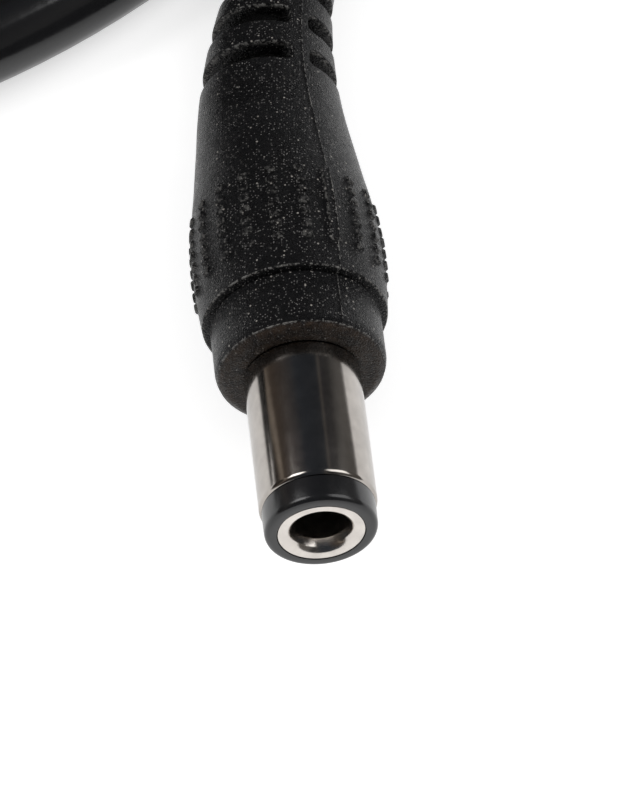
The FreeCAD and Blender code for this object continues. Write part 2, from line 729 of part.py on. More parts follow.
def inner_wires():
    radius = value("mains_wire_radius")
    tail = value("inlet_rear + pin_tail")
    drop = value("board_top")
    out = Vector(value("pin_tail / 2"), 0, 0)
    heights = [(value("pin_spacing / 2"), value("live_pin_height + pin_height / 2")),
               (-value("pin_spacing / 2"), value("live_pin_height + pin_height / 2")),
               (0, value("live_pin_height + earth_pin_rise + pin_height / 2"))]
    routes = [[Vector(tail, y, z), Vector(tail, y, z) + out, Vector(tail + out.x, y, drop)]
              for y, z in heights]
    wires("mains_wires", routes, radius, "mains_leads")

    start = value("case_length / 2 - gland_rear")
    step = value("2 * output_wire_radius + component_gap / 2")
    spots = [-value("output_wire_radius + component_gap / 2") - i * step for i in range(2)]
    routes = [[Vector(start, y, value("split")), Vector(value("board_end - post_inset"), y, value("split")),
               Vector(value("board_end - post_inset"), y, drop)] for y in spots]
    wires("output_wires", routes, value("output_wire_radius"), "output_leads")


def side_slots(count, start, pitch, width, frame):
    """Ring-shaped slots down to the cord's jacket, with a web left on two opposite sides."""
    stations = [value(f"{start} + {i} * {pitch}") for i in range(int(value(count)))]
    width = value(width)
    reach = value("2 * gland_flange_radius")
    outer = Part.makeCylinder(reach, width)
    core = Part.makeCylinder(value("cord_radius + snug_gap"), width)
    web = value("relief_web")
    bar = Part.makeBox(web, 2 * reach, width, Vector(-web / 2, -reach, 0))
    slot = outer.cut(core.fuse(bar))
    slots = []
    for station in stations:
        piece = slot.copy()
        piece.Placement = frame(station)
        slots.append(piece)
    return Part.makeCompound(slots)


# Strain relief at the case: a flange inside, a neck through the wall, a collar and a slotted taper
def cord_gland():
    rear, neck_end = "-gland_rear", "fit_gap"
    collar_end = "fit_gap + gland_collar_thickness"
    body = turned("gland_turned", [
        ("0", rear), ("gland_flange_radius", rear), ("gland_flange_radius", "-wall - fit_gap"),
        ("gland_neck_radius", "-wall - fit_gap"), ("gland_neck_radius", neck_end),
        ("gland_flange_radius", neck_end), ("gland_flange_radius", collar_end),
        ("gland_root_radius", f"{collar_end} + fit_gap"), ("gland_end_radius", "gland_length"),
        ("0", "gland_length")])
    slots = side_slots("gland_slot_count", "gland_slot_start", "gland_slot_pitch", "gland_slot",
                       lambda s: Placement(Vector(0, 0, s), Rotation()))
    gland = cut("gland", body, modelled("gland_slots", slots))
    gland.Placement = Placement(Vector(), ALONG["x"])
    node(put(gland, ("case_length / 2", "0", "split")), "cord_gland")


# Coil: one unbroken tube that spirals in on the table, climbs a layer as it turns back, and spirals out
class Coil:
    """The middle line of the coiled lead, by the angle gone since its start."""

    def __init__(self):
        self.pitch = value("cord_diameter + coil_gap")
        self.turning = 360 * value("coil_turns_in")
        self.end = self.turning + 360 * value("coil_turns_out")
        self.inner = value("coil_start_radius") - self.pitch * value("coil_turns_in")

    def point(self, angle):
        gone = abs(angle - self.turning)
        steady = gone if gone >= 90 else 45 + gone ** 2 / 180
        radius = self.inner + self.pitch * steady / 360
        climb = min(max((angle - self.turning + 90) / 180, 0), 1)
        height = value("lane_height") + value("layer_step") * (1 - math.cos(math.pi * climb)) / 2
        bearing = math.radians(value("coil_start_angle") + angle)
        return Vector(value("coil_x") + radius * math.cos(bearing),
                      value("coil_y") + radius * math.sin(bearing), height)

    def along(self, angle):
        return (self.point(angle + 0.01) - self.point(angle - 0.01)).normalize()

    def start(self):
        return self.point(0) - self.along(0) * value("cord_diameter")

    def finish(self):
        return self.point(self.end) + self.along(self.end) * value("cord_diameter")

    def route(self):
        count = round(self.end / 45)
        angles = [self.end * i / count for i in range(count + 1)]
        edges = [Part.LineSegment(self.start(), self.point(0)).toShape()]
        for a, b in zip(angles, angles[1:]):
            edges += biarc(self.point(a), self.along(a), self.point(b), self.along(b))
        edges.append(Part.LineSegment(self.point(self.end), self.finish()).toShape())
        return Part.Wire(edges)


def biarc(start, out, end, into):
    """Two circular arcs that join two points and keep the direction at both."""
    span = end - start
    both = out + into
    slack = 2 * (1 - out.dot(into))
    reach = (math.sqrt(span.dot(both) ** 2 + slack * span.dot(span)) - span.dot(both)) / slack
    middle = (start + out * reach + end - into * reach) / 2
    return [tangent_arc(start, out, middle), tangent_arc(end, into * -1, middle).reversed()]


def least_self_gap(route, diameter):
    """The smallest gap between turns of a tube, measured on points about one diameter apart."""
    points = route.discretize(Number=int(route.Length / diameter * 2))
    apart = 20
    return min(a.distanceToPoint(b) for i, a in enumerate(points) for b in points[i + apart:]) - diameter


def plug_frame():
    """The plug's own frame: Z back from the tip, X to the right, Y down."""
    turn = Rotation(Vector(0, 0, 1), value("plug_yaw")) * Rotation(Vector(1, 0, 0), -90 - value("plug_tilt"))
    return Placement(Vector(value("tip_x"), value("tip_y"), value("tip_height")), turn)


def grip_axis(station):
    """The plug's own frame moved to a station on its middle line, which bends to the right."""
    bend, tight = value("bend_start"), value("tight_start")
    point = Vector(0, 0, min(station, bend))
    heading = 0.0
    for begin, end, radius in ((bend, tight, value("bend_curve")), (tight, math.inf, value("tight_curve"))):
        turn = max(0, min(station, end) - begin) / radius
        ahead = Vector(math.sin(heading), 0, math.cos(heading))
        aside = Vector(math.cos(heading), 0, -math.sin(heading))
        point += ahead * (radius * math.sin(turn)) + aside * (radius * (1 - math.cos(turn)))
        heading += turn
    return Placement(point, Rotation(Vector(0, 1, 0), math.degrees(heading)))


def lead():
    radius = value("cord_radius")
    coil = Coil()
    coil_route = coil.route()
    gap = least_self_gap(coil_route, value("cord_diameter"))
    print("lead_coil least gap to itself", round(gap, 2))
    node(modelled("coil", tube("lead_coil", coil_route, radius)), "lead_coil")

    plug_end = plug_frame() * grip_axis(value("relief_end"))
    start, away = plug_end.Base, plug_end.Rotation.multVec(Vector(0, 0, 1))
    run = value("tail_run")
    first, last = start + away * run, coil.start() - coil.along(0) * run
    outward = (last - first).cross(Vector(0, 0, 1)).normalize()
    points = [start, first, (first + last) / 2 + outward * value("tail_bow"), last, coil.start()]
    node(modelled("tail", tube("lead_tail", rounded_route("lead_tail", points), radius)), "lead_tail")

    tip = Vector(value("gland_tip"), 0, value("split"))
    leaving = coil.finish() + coil.along(coil.end) * 8
    points = [coil.finish(), leaving, Vector(119.5, -58, 7.2), Vector(120.5, -37, 6.2),
              Vector(115.5, -19, 7.6), Vector(107, -8, 11), tip + Vector(17.5, -2.2, -1.1),
              tip + Vector(8.5, 0, 0), tip]
    stretch = tube("lead_stretch", rounded_route("lead_stretch", points), radius)
    node(modelled("stretch", stretch), "lead_stretch")


# Plug
def in_plug(piece, label):
    """Move a piece made in the plug's own frame to where the plug lies."""
    piece.Placement = plug_frame()
    node(put(piece, ("tip_x", "tip_y", "tip_height")), label)


def plug_contacts():
    in_plug(turned("sleeve", [
        ("sleeve_bore", "sleeve_start"), ("sleeve_radius - sleeve_edge", "sleeve_start", "sleeve_edge"),
        ("sleeve_radius", "sleeve_start + sleeve_edge"), ("sleeve_radius", "sleeve_groove_start"),
        ("sleeve_groove_radius", "sleeve_groove_start"), ("sleeve_groove_radius", "collar_start"),
        ("core_radius", "collar_start"), ("core_radius", "collar_end"), ("sleeve_bore", "collar_end")]),
        "plug_sleeve")
    ring_front = "ring_radius - ring_draft"
    ring_end = "sleeve_start - snug_gap / 2"
    bore = "contact_radius + snug_gap"
    seat = "contact_flange_radius + snug_gap"
    seat_end = "contact_flange_length + snug_gap"
    back = "collar_end + fit_gap"
    in_plug(turned("insulator", [
        (seat, "0"), (f"{ring_front} - ring_edge", "0", "ring_edge"), (ring_front, "ring_edge"),
        ("ring_radius", ring_end), ("insulator_radius", ring_end), ("insulator_radius", back),
        (bore, back), (bore, seat_end), (seat, seat_end)]), "plug_insulator")
    in_plug(turned("contact", [
        ("contact_mouth_radius", "0"), ("contact_flange_radius", "0"),
        ("contact_flange_radius", "contact_flange_length"), ("contact_radius", "contact_flange_length"),
        ("contact_radius", "contact_end"), ("contact_tail_radius", "contact_end"),
        ("contact_tail_radius", "contact_tail_end"), ("0", "contact_tail_end"), ("0", "contact_bore_end"),
        ("contact_bore_radius", "contact_bore_end"), ("contact_bore_radius", "contact_mouth_depth")]),
        "plug_centre_contact")
    tail, tail_end = "contact_tail_radius + snug_gap", "contact_tail_end + snug_gap"
    in_plug(turned("core_mould", [
        (tail, "mould_start"), ("core_radius", "mould_start"), ("core_radius", "mould_end"),
        ("0", "mould_end"), ("0", tail_end), (tail, tail_end)]), "plug_inner_mould")
    cores = [rod(f"plug_core_{i}", "plug_wire_radius", "plug_wire_end - mould_end",
                 (f"{sign} * (plug_wire_radius + fit_gap)", "0", "mould_end"))
             for i, sign in enumerate((-1, 1))]
    in_plug(group("plug_cores", cores), "plug_wires")


def barrel_radius(station):
    """The grip's radius on the gently rounded barrel that carries the bumps."""
    start, end = value("barrel_start"), value("barrel_end")
    share = (station - start) / (end - start)
    level = value("barrel_start_radius") * (1 - share) + value("barrel_end_radius") * share
    return level + (station - start) * (end - station) / (2 * value("barrel_curve"))


def bump_comb():
    """One row of bumps, as a comb that stands in the grip's surface at the parting line."""
    rise, root = value("bump_rise"), value("barrel_end_radius - groove_depth")
    floor_drop = value("snug_gap")
    points = []
    for i in range(int(value("bumps_in_row"))):
        start = value("bump_start") + i * value("bump_pitch")
        end = start + value("bump_length")
        top = barrel_radius((start + end) / 2) + rise
        points += [(start, top - rise - floor_drop), (start, top), (end, top), (end, top - rise - floor_drop)]
    corners = [Vector(0, -r, s) for s, r in [(points[0][0], root)] + points + [(points[-1][0], root)]]
    width = value("bump_width")
    face = Part.Face(Part.makePolygon(corners + corners[:1]))
    return face.translated(Vector(-width / 2, 0, 0)).extrude(Vector(width, 0, 0))


def key_bar():
    """The plain bar that takes a row's place on the parting line."""
    width = value("key_bar_width")
    start = value("bump_start")
    length = value("(bumps_in_row - 1) * bump_pitch + bump_length")
    top = barrel_radius(start + length / 2) + value("bump_rise")
    return Part.makeBox(width, top, length, Vector(-width / 2, -top, start))


def grip_relief():
    """The bent, tapered strain relief behind the barrel."""
    bend, tight, end = value("bend_start"), value("tight_start"), value("relief_end")
    wide, middle, narrow = value("bend_start_radius"), value("tight_start_radius"), value("relief_end_radius")
    stations = [(bend + (tight - bend) * i / 4, wide + (middle - wide) * i / 4) for i in range(4)]
    stations += [(tight + (end - tight) * i / 4, middle + (narrow - middle) * i / 4) for i in range(5)]
    sections = []
    for station, radius in stations:
        section = Part.Wire(Part.makeCircle(radius))
        section.Placement = grip_axis(station)
        sections.append(section)
    return Part.makeLoft(sections, True, False)


def grip():
    bore, wire_room = "core_radius + snug_gap", "plug_wire_space_radius"
    front_bore = "sleeve_groove_radius + snug_gap"
    groove_end = "groove_start + groove_width"
    groove_floor = "nose_radius - groove_depth"
    barrel = turned("grip_barrel", [
        (front_bore, "nose_start"), ("nose_radius - nose_edge", "nose_start", "nose_edge"),
        ("nose_radius", "nose_start + nose_edge"), ("nose_radius", "groove_start"),
        (groove_floor, "groove_start"), (groove_floor, groove_end), ("nose_radius", groove_end),
        ("barrel_start_radius", "barrel_start", "barrel_curve"), ("barrel_end_radius", "barrel_end"),
        ("bend_start_radius", "bend_start"), ("0", "bend_start"), ("0", "plug_wire_end"),
        (wire_room, "plug_wire_end"), (wire_room, "mould_room_end"), (bore, "mould_room_end"),
        (bore, "collar_start - snug_gap"), (front_bore, "collar_start - snug_gap")])
    rows = int(value("bump_rows"))
    parting = Rotation(Vector(0, 0, 1), value("parting_angle"))
    comb, bar = bump_comb(), key_bar()
    bar = bar.cut(Part.makeCylinder(value("barrel_end_radius - groove_depth"), value("relief_end")))
    fixed = []
    for i in range(rows):
        piece = (bar if i % (rows / 2) == 0 else comb).copy()
        piece.Placement = Placement(Vector(), parting * Rotation(Vector(0, 0, 1), 360 * i / rows))
        fixed.append(modelled(f"bump_row_{i}", piece))
    relief = modelled("grip_relief", grip_relief())
    slots = side_slots("relief_slot_count", "relief_slot_start", "relief_slot_pitch", "relief_slot",
                       lambda s: grip_axis(s) * Placement(Vector(), parting))
    whole = join("grip_whole", [barrel, relief] + fixed)
    in_plug(cut("grip", whole, modelled("grip_slots", slots)), "plug_grip")


case_shells()
feet_and_label()
mains_inlet()
board_and_sheets()
mains_side()
cooled_package("switch", "switch_row", "primary_heatsink", "switching_transistor")
transformer()
output_side()
cooled_package("rectifier", "output_row", "secondary_heatsink", "output_rectifier")
inner_wires()
cord_gland()
lead()
plug_contacts()
grip()
doc.recompute()

# Nothing is written unless every feature is in order and every piece is a valid solid
for feature in doc.Objects:
    if "Invalid" in feature.State or "Error" in feature.State:
        raise RuntimeError(f"{feature.Name} did not build: {feature.State}")
for piece in NODES:
    if piece.Shape.isNull() or not piece.Shape.isValid() or not piece.Shape.Solids:
        raise RuntimeError(f"{piece.Label} is not a valid solid")
os.makedirs("parts", exist_ok=True)
for piece in NODES:
    piece.Shape.exportStep(f"parts/{piece.Label}.step")
    print(piece.Label, len(piece.Shape.Solids), round(piece.Shape.Volume, 1))
overall = [round(value(side), 2) for side in ("case_length", "case_width", "case_roof")]
print(len(NODES), "pieces; case", overall)
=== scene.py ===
# %% [markdown]
# # A laptop power adapter
# The real object is a sealed brick with a low-voltage lead. The photograph shows only the lead's
# round plug, very close, and one turn of its cord, so those two get the finest work.
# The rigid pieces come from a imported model, and this lesson dresses them.

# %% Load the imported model
import json
import math
import random

import bmesh
import bpy
from mathutils import Matrix, Vector


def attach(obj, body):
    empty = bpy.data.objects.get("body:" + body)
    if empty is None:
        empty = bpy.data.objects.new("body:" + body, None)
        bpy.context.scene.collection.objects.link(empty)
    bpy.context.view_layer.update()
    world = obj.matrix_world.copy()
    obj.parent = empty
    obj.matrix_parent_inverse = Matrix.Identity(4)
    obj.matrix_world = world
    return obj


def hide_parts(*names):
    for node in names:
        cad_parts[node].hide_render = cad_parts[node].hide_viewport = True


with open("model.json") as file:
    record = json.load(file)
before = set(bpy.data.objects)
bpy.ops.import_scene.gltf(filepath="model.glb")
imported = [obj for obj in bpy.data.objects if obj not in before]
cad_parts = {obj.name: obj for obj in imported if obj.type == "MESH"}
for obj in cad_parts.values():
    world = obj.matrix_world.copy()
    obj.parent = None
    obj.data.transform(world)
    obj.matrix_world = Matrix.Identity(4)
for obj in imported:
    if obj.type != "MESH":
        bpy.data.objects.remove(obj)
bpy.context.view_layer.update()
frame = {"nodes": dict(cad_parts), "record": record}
nodes = frame["nodes"]

# %% [markdown]
# The model's own sizes are easier to read in millimetres, and Blender works in metres.
# One small helper turns a millimetre point into a scene point, so every number below can stay
# as a maker would say it. The cord's diameter comes first, because many pieces are made to suit it.

# %% Millimetres to metres
MM = 0.001
CORD = 4.5


def at(x, y, z):
    """A point given in millimetres."""
    return Vector((x, y, z)) * MM


print("one cord diameter is", CORD * MM, "m")

# %% [markdown]
# The photograph looks down at the plug from 57.5 degrees above the table, from 0.3 m away, with
# a long lens. The camera could be placed by eye, but these numbers come from fitting the circles
# of the plug's tip, nose and groove to their outlines in the picture.

# %% Camera
PLUG_TIP = at(108.33, -150.11, 6.1)
AIM_FROM_TIP = at(-0.554, 7.212, 0)
LOOK_DOWN = math.radians(57.5)
CAMERA_DISTANCE = 0.2994
SENSOR_WIDTH, FOCAL_LENGTH = 36, 290.7

back = Vector((0, -math.cos(LOOK_DOWN), math.sin(LOOK_DOWN)))
aim = PLUG_TIP + AIM_FROM_TIP
lens = bpy.data.cameras.new("camera")
lens.sensor_width = SENSOR_WIDTH
lens.lens = FOCAL_LENGTH
lens.clip_start, lens.clip_end = 0.01, 20
camera = bpy.data.objects.new("camera", lens)
camera.location = aim + back * CAMERA_DISTANCE
camera.rotation_euler = (-back).to_track_quat("-Z", "Y").to_euler()
bpy.context.scene.collection.objects.link(camera)
bpy.context.scene.camera = camera
print("camera at", [round(x, 4) for x in camera.location])

# %% [markdown]
# The plug lies a little askew, with its tip a hair higher than its tail. A matrix holds that
# lean: in the plug's own frame Z runs back from the tip, X to the right and Y down, so a plug
# piece can be written as radii at distances behind the tip. The strain relief bends to the
# right, first gently and then more tightly, as it hands the cord over.

# %% The plug's own frame
PLUG_TURN, PLUG_LEAN = math.radians(5.76), math.radians(-94.5)
RELIEF_START, TIGHTER_START, RELIEF_END = 22.97, 32.2, 38.4
BENDS = ((RELIEF_START, TIGHTER_START, 35.4), (TIGHTER_START, math.inf, 18.0))
plug_frame = (Matrix.Translation(PLUG_TIP) @ Matrix.Rotation(PLUG_TURN, 4, "Z")
              @ Matrix.Rotation(PLUG_LEAN, 4, "X"))


def grip_axis(station):
    """The plug's frame moved along its bent middle line to a station."""
    spot, heading = Vector((0, 0, min(station, RELIEF_START))), 0.0
    for begin, end, radius in BENDS:
        turn = max(0, min(station, end) - begin) / radius
        ahead = Vector((math.sin(heading), 0, math.cos(heading)))
        aside = Vector((math.cos(heading), 0, -math.sin(heading)))
        spot += ahead * radius * math.sin(turn) + aside * radius * (1 - math.cos(turn))
        heading += turn
    return plug_frame @ Matrix.Translation(spot * MM) @ Matrix.Rotation(heading, 4, "Y")


relief_tip = grip_axis(RELIEF_END)
print("relief ends at", [round(x / MM, 2) for x in relief_tip.translation], "mm")

# %% [markdown]
# The lead is one length of cord from the brick's strain relief to the plug's. Most of it lies in
# a flat coil on the table: it spirals in on the tabletop, climbs one layer where it turns back
# and spirals out again, so that no turn passes through another. Loose loops would be easier,
# but the one turn in the photograph is neat and large.

# %% Where the coil's middle line runs
COIL_CENTRE = (71.0, -81.0)
LANE = CORD + 0.55
TURNS_IN, TURNS_OUT = 3.24, 1.76
INNER = 48.29 - LANE * TURNS_IN
TURNING, COIL_END = 360 * TURNS_IN, 360 * (TURNS_IN + TURNS_OUT)
TURN_BACK, START_BEARING = 90, -11
COIL_HEIGHT, LAYER_RISE = 2.3, 5.0


def coil_point(angle, outside=1.0):
    """A point of the coil by the angle gone, in millimetres."""
    gone = abs(angle - TURNING)
    steady = gone if gone >= TURN_BACK else TURN_BACK / 2 + gone ** 2 / (2 * TURN_BACK)
    radius = (INNER + LANE * steady / 360) * outside
    climb = min(max((angle - TURNING + TURN_BACK) / (2 * TURN_BACK), 0), 1)
    bearing = math.radians(angle + START_BEARING)
    return Vector((COIL_CENTRE[0] + radius * math.cos(bearing),
                   COIL_CENTRE[1] + radius * math.sin(bearing),
                   COIL_HEIGHT + LAYER_RISE * (1 - math.cos(math.pi * climb)) / 2))


def coil_heading(angle):
    """The way the coil runs at an angle."""
    return (coil_point(angle + 0.01) - coil_point(angle - 0.01)).normalized()


coil_start = coil_point(0) - coil_heading(0) * CORD
coil_finish = coil_point(COIL_END) + coil_heading(COIL_END) * CORD
print("coil from", [round(x, 1) for x in coil_start],
      "to", [round(x, 1) for x in coil_finish])

# %% [markdown]
# A smooth spline passes inside its control points. Round the coil each point therefore stands a
# little outside the line, by the cosine of half its step, and the turns keep their true size.
# The free stretch and the short tail use the route's own points.

# %% The lead's control points
BRICK_END, LEAD_HEIGHT, GLAND_LENGTH = 54.175, 15.5, 26.0
GLAND_TIP = Vector((BRICK_END + GLAND_LENGTH, 0, LEAD_HEIGHT))
STEPS_PER_TURN = 30
STRAIGHT, TAIL_BOW = 5, 0.5

stretch = [GLAND_TIP, GLAND_TIP + Vector((8.5, 0, 0)), GLAND_TIP + Vector((17.5, -2.2, -1.1)),
           Vector((107, -8, 11)), Vector((115.5, -19, 7.6)), Vector((120.5, -37, 6.2)),
           Vector((119.5, -58, 7.2)), coil_finish + coil_heading(COIL_END) * 8, coil_finish]
step = 360 / STEPS_PER_TURN
outside = 1 / math.cos(math.radians(step / 2))
turns = [coil_point(COIL_END - step * i, outside) for i in range(int(COIL_END / step) + 1)]
tail_first = (relief_tip @ at(0, 0, STRAIGHT)) / MM
tail_last = coil_start - coil_heading(0) * STRAIGHT
outward = (tail_last - tail_first).cross(Vector((0, 0, 1))).normalized()
tail = [coil_start, tail_last, (tail_first + tail_last) / 2 + outward * TAIL_BOW, tail_first,
        relief_tip.translation / MM]
route = [point * MM for point in stretch + turns + tail]
print(len(route), "control points")

# %% [markdown]
# The cord itself is a curve with a round bevel. One open NURBS spline carries it from end to
# end, so it bends as smoothly as the real jacket does. Its order and its clamped ends are set
# once the points are in. Each point's own radius holds the cord's thickness, because Blender
# counts that radius into the curve's box.

# %% The lead
def cord_curve(name, points, diameter):
    """A round cord along one smooth line."""
    data = bpy.data.curves.new(name, "CURVE")
    data.dimensions = "3D"
    data.bevel_depth = 1
    data.bevel_resolution = 10
    data.resolution_u = 6
    data.use_fill_caps = True
    spline = data.splines.new("NURBS")
    spline.points.add(len(points) - 1)
    for control, point in zip(spline.points, points):
        control.co = (*point, 1)
        control.radius = diameter / 2
    spline.order_u = 3
    spline.use_endpoint_u = True
    spline.use_smooth = True
    piece = bpy.data.objects.new(name, data)
    bpy.context.scene.collection.objects.link(piece)
    return piece


lead = cord_curve("dc_lead", route, CORD * MM)
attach(lead, "root")
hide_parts("lead_stretch", "lead_coil", "lead_tail")
print("lead with", len(lead.data.splines[0].points), "points")

# %% [markdown]
# Every look below is a small tree of nodes, so a few helpers come first. One starts a material,
# one does sums on values and one mixes colours. Each takes plain values or other nodes' outputs,
# which keeps the trees short to write.

# %% Helpers for nodes
MIX_FIRST, MIX_SECOND, MIX_RESULT = 6, 7, 2


def new_material(name):
    """A new material, its node tree and its shader."""
    material = bpy.data.materials.new(name)
    material.use_nodes = True
    tree = material.node_tree
    return material, tree, tree.nodes["Principled BSDF"]


def feed(tree, socket, value):
    """Set a socket, or link it where the value is another node's output."""
    if isinstance(value, bpy.types.NodeSocket):
        tree.links.new(value, socket)
    else:
        socket.default_value = value


def reckoned(tree, operation, first, second, clamp=False):
    """A sum or product of two values."""
    result = tree.nodes.new("ShaderNodeMath")
    result.operation = operation
    result.use_clamp = clamp
    feed(tree, result.inputs[0], first)
    feed(tree, result.inputs[1], second)
    return result.outputs[0]


def blended(tree, factor, first, second, blend="MIX"):
    """A mix of two colours, each given as red, green and blue or as an output."""
    mix = tree.nodes.new("ShaderNodeMix")
    mix.data_type = "RGBA"
    mix.blend_type = blend
    feed(tree, mix.inputs["Factor"], factor)
    for number, colour in ((MIX_FIRST, first), (MIX_SECOND, second)):
        feed(tree, mix.inputs[number], (*colour, 1) if isinstance(colour, tuple) else colour)
    return mix.outputs[MIX_RESULT]


print("node helpers are ready")

# %% [markdown]
# The photograph's table is plain white. The floor is a pale diffuse sheet, so it shows the
# shadow, and adds some light of its own only for what looks at it or mirrors it. That keeps the
# background white with no extra light on the object.

# %% Floor
FLOOR_SIZE, FLOOR_GLOW = 6, 0.58


def seen_or_mirrored(tree):
    """1 for camera, glossy and transmitted rays, and 0 for the rest."""
    path = tree.nodes.new("ShaderNodeLightPath")
    total = path.outputs["Is Camera Ray"]
    for ray in ("Is Glossy Ray", "Is Transmission Ray"):
        total = reckoned(tree, "ADD", total, path.outputs[ray], clamp=True)
    return total


table_top, tree, shader = new_material("table_top")
shader.inputs["Base Color"].default_value = (0.8, 0.8, 0.8, 1)
shader.inputs["Roughness"].default_value = 0.7
shader.inputs["Emission Color"].default_value = (1, 1, 1, 1)
feed(tree, shader.inputs["Emission Strength"],
     reckoned(tree, "MULTIPLY", seen_or_mirrored(tree), FLOOR_GLOW))
bpy.ops.mesh.primitive_plane_add(size=FLOOR_SIZE, location=(0, 0, 0))
floor = bpy.context.object
floor.name = "floor"
floor.data.materials.append(table_top)
print("floor", FLOOR_SIZE, "m across")

# %% [markdown]
# The metal sleeve shows what surrounds it: white table at both flanks and a dark room above. So
# the world is white where the camera sees it, a plain grey for diffuse light, and for mirrored
# rays it fades from white at the horizon to a dark room, which is a little paler on one side
# and has two narrow pale uprights, as door frames would be.

# %% World
WHITE, GREY, BLACK = (1, 1, 1), (0.5, 0.5, 0.5), (0, 0, 0)
ROOM = [
    (0.066, (0.05, 0.042, 0.036)), (0.077, (0.36, 0.31, 0.26)), (0.088, (0.36, 0.31, 0.26)),
    (0.1, (0.09, 0.07, 0.056)), (0.36, (0.038, 0.045, 0.056)), (0.635, (0.034, 0.039, 0.047)),
    (0.66, (0.14, 0.13, 0.12)), (0.685, (0.042, 0.042, 0.046)), (0.76, (0.05, 0.05, 0.05)),
    (0.83, (0.17, 0.165, 0.16)), (0.92, (0.13, 0.12, 0.11))]
HORIZON = [(0.0, WHITE), (0.06, BLACK)]

world = bpy.data.worlds.new("studio")
bpy.context.scene.world = world
world.use_nodes = True
tree = world.node_tree
background = tree.nodes["Background"]
direction = tree.nodes.new("ShaderNodeTexCoord")
split = tree.nodes.new("ShaderNodeSeparateXYZ")
tree.links.new(direction.outputs["Generated"], split.inputs[0])


def shade_band(value, stops):
    """Colours along a value from 0 to 1."""
    band = tree.nodes.new("ShaderNodeValToRGB")
    while len(band.color_ramp.elements) < len(stops):
        band.color_ramp.elements.new(0.5)
    for stop, (place, colour) in zip(band.color_ramp.elements, stops):
        stop.position = place
        stop.color = (*colour, 1)
    tree.links.new(value, band.inputs[0])
    return band.outputs[0]


sideways = tree.nodes.new("ShaderNodeMapRange")
sideways.inputs["From Min"].default_value = -1
tree.links.new(split.outputs["X"], sideways.inputs["Value"])
room = shade_band(sideways.outputs[0], ROOM)
glow = shade_band(split.outputs["Z"], HORIZON)
mirrored = blended(tree, 1, room, glow, "LIGHTEN")
rays = tree.nodes.new("ShaderNodeLightPath").outputs
ambient = blended(tree, rays["Is Glossy Ray"], GREY, mirrored)
ambient = blended(tree, rays["Is Transmission Ray"], ambient, WHITE)
feed(tree, background.inputs["Color"], blended(tree, rays["Is Camera Ray"], ambient, WHITE))
print("world: white to the camera, dark overhead in mirrors")

# %% [markdown]
# Two large soft boxes light the table evenly from above, one on each side of the camera. The
# sleeve's barrel can't mirror them there, and its rolled lip shows each as a small highlight,
# as it does in the photograph. With their power a mid-grey card that lies beside the plug renders
# a third of a stop too dark, which is close enough for the colours to be read as they are.

# %% Soft boxes
def soft_box(name, place, target, size, power):
    """A square lamp aimed at a point."""
    lamp = bpy.data.lights.new(name, "AREA")
    lamp.size = size
    lamp.energy = power
    box = bpy.data.objects.new(name, lamp)
    box.location = place
    box.rotation_euler = (Vector(target) - Vector(place)).to_track_quat("-Z", "Y").to_euler()
    bpy.context.scene.collection.objects.link(box)


LIT_SPOT, BOX_POWER = (0.08, -0.1, 0), 3.6
soft_box("left_box", (-0.55, 0.1, 0.85), LIT_SPOT, 0.5, BOX_POWER)
soft_box("right_box", (0.75, 0.1, 0.8), LIT_SPOT, 0.7, BOX_POWER)
print("two soft boxes")

# %% [markdown]
# Most pieces are moulded, turned or rolled, and their finishes differ in a few ways: the colour
# and how it drifts, how fine and deep the grain is, and how the gloss varies. One function makes
# that mixture from noise, and each finish is a line of its own numbers.

# %% A finish from noise
FINISHES = {}


def noise(tree, size, detail=3.0, stretch=(1, 1, 1)):
    """Noise whose blobs are about a size in millimetres, stretched along the axes."""
    place = tree.nodes.new("ShaderNodeTexCoord")
    squeeze = tree.nodes.new("ShaderNodeMapping")
    squeeze.inputs["Scale"].default_value = [1 / (size * MM * s) for s in stretch]
    texture = tree.nodes.new("ShaderNodeTexNoise")
    texture.inputs["Scale"].default_value = 1.0
    texture.inputs["Detail"].default_value = detail
    texture.inputs["Roughness"].default_value = 0.6
    tree.links.new(place.outputs["Object"], squeeze.inputs["Vector"])
    tree.links.new(squeeze.outputs[0], texture.inputs["Vector"])
    return texture.outputs["Fac"]


def spread(tree, value, low, high, start=0.3, end=0.7):
    """A value that runs from start to end, stretched to run from low to high."""
    ramp = tree.nodes.new("ShaderNodeMapRange")
    for name, amount in zip(("From Min", "From Max", "To Min", "To Max"), (start, end, low, high)):
        ramp.inputs[name].default_value = amount
    tree.links.new(value, ramp.inputs["Value"])
    return ramp.outputs["Result"]


def raised(tree, height, depth, normal=None):
    """Turn a height between 0 and 1 into a bump of that depth in millimetres."""
    bump = tree.nodes.new("ShaderNodeBump")
    bump.inputs["Distance"].default_value = depth * MM
    tree.links.new(height, bump.inputs["Height"])
    if normal:
        tree.links.new(normal, bump.inputs["Normal"])
    return bump.outputs[0]


def finish(name, colour, gloss, metallic=0.0, drift=0.25, patch=6.0, grain=0.15, depth=0.01,
           along=(1, 1, 1)):
    """Keep a plain finish by its name: drifting colour, uneven gloss and a fine grain."""
    material, tree, shader = new_material(name)
    dark = tuple(c * (1 - drift) for c in colour)
    light = tuple(min(1, c * (1 + drift)) for c in colour)
    shader.inputs["Metallic"].default_value = metallic
    patches = spread(tree, noise(tree, patch), 0, 1)
    tree.links.new(blended(tree, patches, dark, light), shader.inputs["Base Color"])
    uneven = spread(tree, noise(tree, patch / 3), gloss * 0.85, min(1, gloss * 1.15))
    tree.links.new(uneven, shader.inputs["Roughness"])
    tree.links.new(raised(tree, noise(tree, grain, stretch=along), depth), shader.inputs["Normal"])
    FINISHES[name] = material


print("finishes are made from noise")

